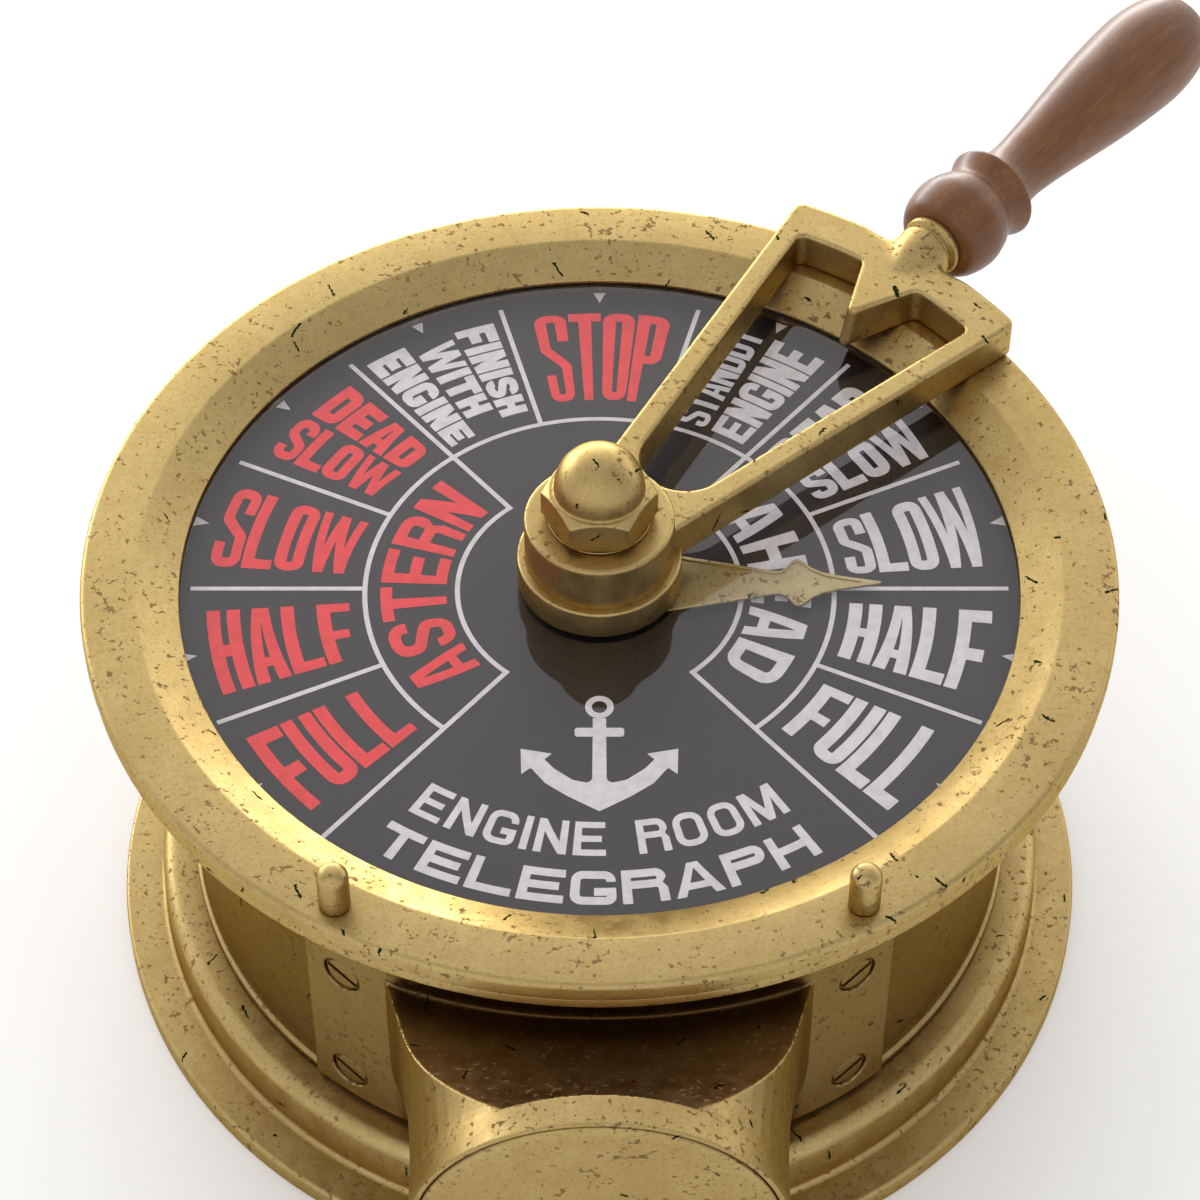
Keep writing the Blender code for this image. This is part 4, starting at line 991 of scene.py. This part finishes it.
def letter(char, w, h, t):
    """Outlines of one block letter in a w by h cell with strokes t wide: the outer one, then its holes."""
    m, r = h / 2, min(0.42 * w, 0.5 * h)
    bowl = min(r, 0.27 * h)
    inner = max(0.05, r - t)
    if char == " ":
        return []
    if char == "I":
        return [[(0, 0), (w, 0), (w, h), (0, h)]]
    if char == "L":
        return [[(0, 0), (w, 0), (w, t), (t, t), (t, h), (0, h)]]
    if char == "T":
        a, b = (w - t) / 2, (w + t) / 2
        return [[(a, 0), (b, 0), (b, h - t), (w, h - t), (w, h), (0, h), (0, h - t), (a, h - t)]]
    if char in "EF":
        foot = [(0, 0), (w, 0), (w, t), (t, t)] if char == "E" else [(0, 0), (t, 0)]
        low, high = (m - t / 2, m + t / 2) if char == "E" else (m - t * 0.8, m + t * 0.2)
        arm = 0.88 * w
        return [foot + [(t, low), (arm, low), (arm, high), (t, high), (t, h - t), (w, h - t), (w, h), (0, h)]]
    if char == "H":
        a, b = m - t / 2, m + t / 2
        return [[(0, 0), (t, 0), (t, a), (w - t, a), (w - t, 0), (w, 0), (w, h), (w - t, h), (w - t, b), (t, b),
                 (t, h), (0, h)]]
    if char == "N":
        d = min(0.6 * h, h * 1.15 * t / max(w - t, 0.1))
        return [[(0, 0), (t, 0), (t, h - d), (w - t, 0), (w, 0), (w, h), (w - t, h), (w - t, d), (t, h), (0, h)]]
    if char == "M":
        q = 0.25 * t
        return [[(0, 0), (t, 0), (t, 0.62 * h), (w / 2 - 0.45 * t, 0), (w / 2 + 0.45 * t, 0), (w - t, 0.62 * h),
                 (w - t, 0), (w, 0), (w, h), (w - t - q, h), (w / 2, 0.36 * h), (t + q, h), (0, h)]]
    if char == "W":
        b, q, s = 0.27 * w, 0.42 * t, 0.74 * t
        u = (w / 2 - q - s) / (w / 2 - 3 * q + s)
        apex = (s + (b - q) * u, h * (1 - u))
        return [[(0, h), (s, h), apex, (w / 2 - q, h), (w / 2 + q, h), (w - apex[0], apex[1]), (w - s, h), (w, h),
                 (w - b + q, 0), (w - b - q, 0), (w / 2, h * u), (b + q, 0), (b - q, 0)]]
    if char == "A":
        p, bar, y_in = 0.62 * t, 0.2 * h, 0.84 * h
        high = bar + 0.85 * t
        a, b = (t + (w / 2 - t) * y / y_in for y in (bar, high))
        outer = [(0, 0), (t, 0), (a, bar), (w - a, bar), (w - t, 0), (w, 0), (w / 2 + p, h)]
        return [outer + [(w / 2 - p, h)], [(b, high), (w - b, high), (w / 2, y_in)]]
    if char == "Y":
        a, b, k = (w - t) / 2, (w + t) / 2, 0.44 * h
        return [[(a, 0), (b, 0), (b, k), (w, h), (w - t, h), (w / 2, k + 0.22 * h), (t, h), (0, h), (a, k)]]
    if char == "U":
        bend = r - t / 2
        return [ribbon([(t / 2, h), (t / 2, t / 2, bend), (w - t / 2, t / 2, bend), (w - t / 2, h)], t)]
    if char == "S":
        t = min(t, 0.36 * w)
    x0, x1, y0, y1 = t / 2, w - t / 2, t / 2, h - t / 2
    bend = min(r - t / 2, 0.46 * (w - t), 0.29 * h - t / 2)
    if char == "S":
        waist_bend = min(0.7 * bend, 0.38 * h - t / 2 - bend)
        path = [(x1, 0.69 * h), (x1, y1, bend), (x0, y1, bend), (x0, 0.60 * h, waist_bend)]
        path += [(x1, 0.40 * h, waist_bend), (x1, y0, bend), (x0, y0, bend), (x0, 0.31 * h)]
        return [ribbon(path, t)]
    if char == "G":
        shelf = 0.5 * h - 0.5 * t
        path = [(x1, 0.68 * h), (x1, y1, bend), (x0, y1, bend), (x0, y0, bend), (x1, y0, 0.7 * bend)]
        return [ribbon(path + [(x1, shelf), (0.52 * w, shelf)], t)]
    if char == "O":
        return [rounded_box(0, 0, w, h, r), rounded_box(t, t, w - t, h - t, inner)]
    if char == "D":
        outer = eased([(0, 0), (w, 0, r), (w, h, r), (0, h)])
        return [outer, eased([(t, t), (w - t, t, inner), (w - t, h - t, inner), (t, h - t)])]
    low = 0.44 * h
    if char == "P":
        outer = eased([(0, 0), (t, 0), (t, low), (w, low, bowl), (w, h, bowl), (0, h)])
        inner = max(0.05, bowl - t)
        return [outer, eased([(t, low + t), (w - t, low + t, inner), (w - t, h - t, inner), (t, h - t)])]
    if char == "R":
        knee = w - 0.45 * t
        outer = eased([(0, 0), (t, 0), (t, low), (w - t, low, 0.2 * t), (w - t, 0), (w, 0), (w, low * 0.9, 0.3 * t),
                       (knee, low + t * 0.55), (w, low + 1.2 * t, 0.4 * t), (w, h, bowl), (0, h)])
        inner = max(0.05, bowl - t)
        return [outer, eased([(t, low + t), (w - t, low + t, inner * 0.6), (w - t, h - t, inner), (t, h - t)])]
    if char == "B":
        notch, bowl = w - 0.35 * t, min(r, 0.22 * h)
        inner = max(0.05, bowl - t)
        outer = eased([(0, 0), (w, 0, bowl), (w, m - 0.5 * t, 0.5 * t), (notch, m), (w, m + 0.5 * t, 0.5 * t),
                       (w, h, bowl), (0, h)])
        lower = eased([(t, t), (w - t, t, inner), (w - t, m - t / 2, inner), (t, m - t / 2)])
        return [outer, lower, eased([(t, m + t / 2), (w - t, m + t / 2, inner), (w - t, h - t, inner), (t, h - t)])]
    raise ValueError(char)


# Each letter's width beside an ordinary one's.
WIDE = {"W": 1.58, "M": 1.25, " ": 0.6, "A": 1.06}


def split_long(outline, longest):
    """The outline with its long edges divided, so that they bend round the dial."""
    points = []
    for k, point in enumerate(outline):
        start, end = Vector(point), Vector(outline[(k + 1) % len(outline)])
        parts = max(1, math.ceil((end - start).length / longest))
        points += [tuple(start.lerp(end, part / parts)) for part in range(parts)]
    return points


def word(text, start, end, base, top, along, weight=0.40, gap=0.08):
    """A word laid along the dial's radius or round it, as outlines in millimetres.

    Along the radius, start and end are radii, base and top are angles, and the letters widen with the radius.
    Along the angle, start and end are angles, base and top are radii.
    """
    shares = [weight if char == "I" else WIDE.get(char, 1.0) for char in text]
    cells = sum(shares) + gap * (len(text) - 1)
    if along == "radius":
        length = abs(end - start) * UNIT
        height = math.radians(abs(top - base)) * (start + end) / 2 * UNIT
    else:
        length = math.radians(abs(end - start)) * (base + top) / 2 * UNIT
        height = abs(top - base) * UNIT
    cell = length / cells
    outlines, x = [], 0.0
    box = (start, end, base, top, along)
    for char, share in zip(text, shares):
        for outline in letter(char, share * cell, height, weight * cell):
            spread = split_long([(x + px, py) for px, py in outline], LONGEST_EDGE)
            outlines.append([wrap(px / length, py / height, *box) for px, py in spread])
        x += (share + gap) * cell
    return outlines


def wrap(across, up, start, end, base, top, along):
    """A point of a word's box, from 0 to 1 each way, to its place on the dial."""
    first, second = start + (end - start) * across, base + (top - base) * up
    radius, angle = (first, second) if along == "radius" else (second, first)
    return polar(radius * UNIT, angle)


def printed(name, outlines, material):
    """Enamel print that stands about a tenth of a millimetre proud of the dial."""
    bottom = DIAL_TOP + PRINT_GAP
    show(plate(name, outlines, bottom, bottom + PRINT_THICKNESS), "head", material)


# Each word's place for word(), with its weight and gap where they aren't the usual ones.
WHITE_WORDS = [
    ("FULL", 252, 392, -45.6, -29.4, "radius"),
    ("HALF", 250, 392, -20.6, -4.4, "radius"),
    ("SLOW", 250, 394, 4.4, 20.6, "radius"),
    ("SLOW", 252, 392, 28.0, 37.0, "radius"),
    ("DEAD", 258, 388, 38.4, 47.4, "radius"),
    ("ENGINE", 247, 397, 53.2, 62.0, "radius", 0.36),
    ("STANDBY", 247, 397, 63.6, 72.2, "radius", 0.34),
    ("FINISH", 392, 257, 113.2, 106.8, "radius"),
    ("WITH", 384, 272, 120.4, 114.0, "radius"),
    ("ENGINE", 397, 247, 128.2, 121.4, "radius"),
    ("ENGINE ROOM", 237, 303, 334, 294, "angle", 0.24, 0.20),
    ("TELEGRAPH", 236, 302.6, 391, 352, "angle", 0.21, 0.13),
    ("AHEAD", 37.6, -38.0, 152, 212, "angle", 0.30, 0.14),
]
RED_WORDS = [
    ("STOP", 100.6, 78.6, 262, 390, "angle"),
    ("SLOW", 388, 257, 151.6, 142.2, "radius"),
    ("DEAD", 385, 257, 141.2, 132.8, "radius"),
    ("SLOW", 394, 250, 175.6, 159.4, "radius"),
    ("HALF", 392, 250, 200.6, 184.4, "radius"),
    ("FULL", 392, 252, 225.6, 209.4, "radius"),
    ("ASTERN", 220.4, 137.8, 153, 219, "angle", 0.30, 0.14),
]


def ring_line(radius, start, end):
    """A printed line round part of the dial."""
    steps = int(abs(end - start) / 2)
    outer = arc((0, 0), (radius + LINE / 2) * UNIT, start, end, steps)
    inner = arc((0, 0), (radius - LINE / 2) * UNIT, end, start, steps)
    return outer + inner


def spoke_line(angle, start, end):
    """A printed line along the dial's radius."""
    along = Vector(polar(1.0, angle))
    aside = Vector((-along.y, along.x)) * LINE / 2
    corners = [along * start - aside, along * end - aside, along * end + aside, along * start + aside]
    return [tuple(corner * UNIT) for corner in corners]


def dial_print():
    """The order words, the lines between them and a small mark at the rim for each order."""
    for name, words, material in (
        ("white_order_lettering", WHITE_WORDS, WHITE_INK), ("red_order_lettering", RED_WORDS, RED_INK)
    ):
        printed(name, [outline for entry in words for outline in word(*entry)], material)
    rings = [ring_line(RING_R, -50.6, 230.6), ring_line(INNER_R, -51, 51), ring_line(INNER_R, 129, 231)]
    printed("dial_arcs", rings, WHITE_INK)
    clear = LINE / 2 + CLEARANCE
    lines = [spoke_line(angle, RING_R + clear, SPOKE_END) for angle in SPOKE_ANGLES]
    lines += [spoke_line(angle, INNER_R + clear, RING_R - clear) for angle in SECTOR_EDGES]
    for angle in ORDER_ANGLES:
        along = Vector(polar(1.0, angle)) * UNIT
        aside = Vector((-along.y, along.x)) * MARK_HALF
        base = along * MARK_BASE
        lines.append([tuple(base - aside), tuple(base + aside), tuple(along * MARK_TIP)])
    printed("dial_lines", lines, WHITE_INK)


def anchor():
    """A plain stocked anchor, drawn for this dial."""
    shackle, shank_top, crown = -153.0, -167.0, -281.0
    ring = arc((0, shackle), 14.0, 0, 350, 35)
    eye = arc((0, shackle), 7.5, 0, 350, 35)
    right = [
        (6.5, shank_top), (6.5, -179), (24, -179, 3.0), (24, -190, 3.0), (6.5, -190), (7.0, -248, 6.0), (26, -243, 8.0),
        (44, -229, 8.0), (53, -218), (46, -211), (76, -205), (75, -236), (66, -228, 2.0), (52, -247, 10.0),
        (30, -263, 12.0),
    ]
    left = [(-x, y, *rest) for x, y, *rest in reversed(right)]
    body = eased(right + [(0, crown)] + left)
    scaled = [[(x * UNIT, y * UNIT) for x, y in outline] for outline in (ring, eye, body)]
    printed("dial_anchor", scaled, WHITE_INK)


# ---- pieces kept from the CAD
KEPT = {
    BRONZE: [
        "dial_spacer", "glass_bush", "bearing_bridge", "front_bush", "rear_bush", "gong", "gong_post",
        "gong_nut", "hammer_post", "detent_post", "order_chain_wheel", "detent_wheel", "reply_sleeve",
        "sleeve_collar", "reply_chain_wheel", "gong_star_wheel", "hammer_head", "detent_roller",
    ],
    STEEL: [
        "bridge_screw_1", "bridge_screw_2", "hammer_spring", "order_shaft", "lever_key", "handle_tang", "hammer_arm",
        "hammer_tail", "detent_arm", "roller_pin",
    ],
    RUBBER: ["cover_gasket", "glass_gasket", "cap_gasket"],
    BRASS: ["bezel_screw_1", "bezel_screw_2", "bezel_screw_3", "bezel_screw_4"],
    ENAMEL: ["dial_plate"],
    GLASS: ["glass_pane"],
}


def keep_cad_pieces():
    """Gives its finish to each CAD piece that shows as it is, or that lies hidden inside."""
    for material, names in KEPT.items():
        for name in names:
            piece = bpy.data.objects[name]
            piece.data.materials.clear()
            piece.data.materials.append(material)


# ---- floor, light and camera
def floor():
    bm = bmesh.new()
    bmesh.ops.create_grid(bm, x_segments=4, y_segments=4, size=6.0)
    plane = from_bmesh("studio_floor", bm)
    made, tree, shader = finish("floor_paint")
    cloud = noise(tree, object_coordinates(tree), 3.0, 3.0)
    feed(tree, shader.inputs["Base Color"], mixed(tree, cloud, (0.90, 0.90, 0.90), (0.87, 0.87, 0.87)))
    fixed(
        shader, Roughness=0.9, Specular_IOR_Level=0.1,
        Emission_Color=(1.0, 1.0, 1.0, 1.0), Emission_Strength=0.12,
    )
    plane.data.materials.append(made)


def studio_light():
    """A pale studio: brightest low behind the object, softer overhead and dimmer in front."""
    world = bpy.data.worlds.new("studio")
    bpy.context.scene.world = world
    world.use_nodes = True
    tree = world.node_tree
    tree.nodes.clear()
    axes = separate(tree, node(tree, "TexCoord").outputs["Generated"])
    behind = between(tree, axes["Y"], -0.1, 0.65)
    low = between(tree, axes["Z"], 0.15, 0.85, 2.2, 0.40)
    middle = between(tree, maths(tree, "ABSOLUTE", axes["X"]), 0.2, 0.6, 1.0, 0.55)
    front = between(tree, axes["Y"], -0.75, -0.1, 0.35, 0.0)
    left = between(tree, axes["X"], -0.9, 0.9, 0.2, 0.0)
    strength = total(tree, product(tree, behind, low, middle), front, left, 0.58)
    background = node(tree, "Background", None, Color=(1.0, 0.99, 0.975, 1.0), Strength=strength)
    out = node(tree, "OutputWorld")
    tree.links.new(background.outputs[0], out.inputs["Surface"])


def area_light(name, size, energy, place_at, target):
    data = bpy.data.lights.new(name, "AREA")
    data.shape = "RECTANGLE"
    data.size, data.size_y = size
    data.energy = energy
    light = bpy.data.objects.new(name, data)
    light.location = place_at
    light.rotation_euler = (Vector(target) - Vector(place_at)).to_track_quat("-Z", "Y").to_euler()
    bpy.context.scene.collection.objects.link(light)


def camera():
    """A long lens, looking down at the dial from in front."""
    elevation, distance = math.radians(49.077), 1.3862
    data = bpy.data.cameras.new("camera")
    data.sensor_width = 36.0
    data.lens = 112.08
    made = bpy.data.objects.new("camera", data)
    made.rotation_euler = (math.pi / 2 - elevation, 0.0, 0.0)
    sideways, rise = 0.0002, -0.0042
    made.location = (
        sideways,
        -distance * math.cos(elevation) + rise * math.sin(elevation),
        DIAL_TOP * MM + distance * math.sin(elevation) + rise * math.cos(elevation),
    )
    bpy.context.scene.collection.objects.link(made)
    bpy.context.scene.camera = made


for make in (
    back_cover, cover_bolts, drum, bezel, stop_pins, neck, saddle_screws, cap, lever, collar, washer_and_nut,
    ferrule, grip, reply_pointer, dial_print, anchor, keep_cad_pieces, floor, studio_light,
):
    make()
area_light("back_softbox", (3.2, 0.6), 62.0, (-0.7, 2.8, 0.34), (0, 0, 0.15))
area_light("left_softbox", (1.0, 1.2), 13.0, (-1.9, 1.7, 0.55), (0.15, 0.2, 0.15))
camera()
bpy.context.scene.view_settings.view_transform = "Standard"

bpy.context.view_layer.update()
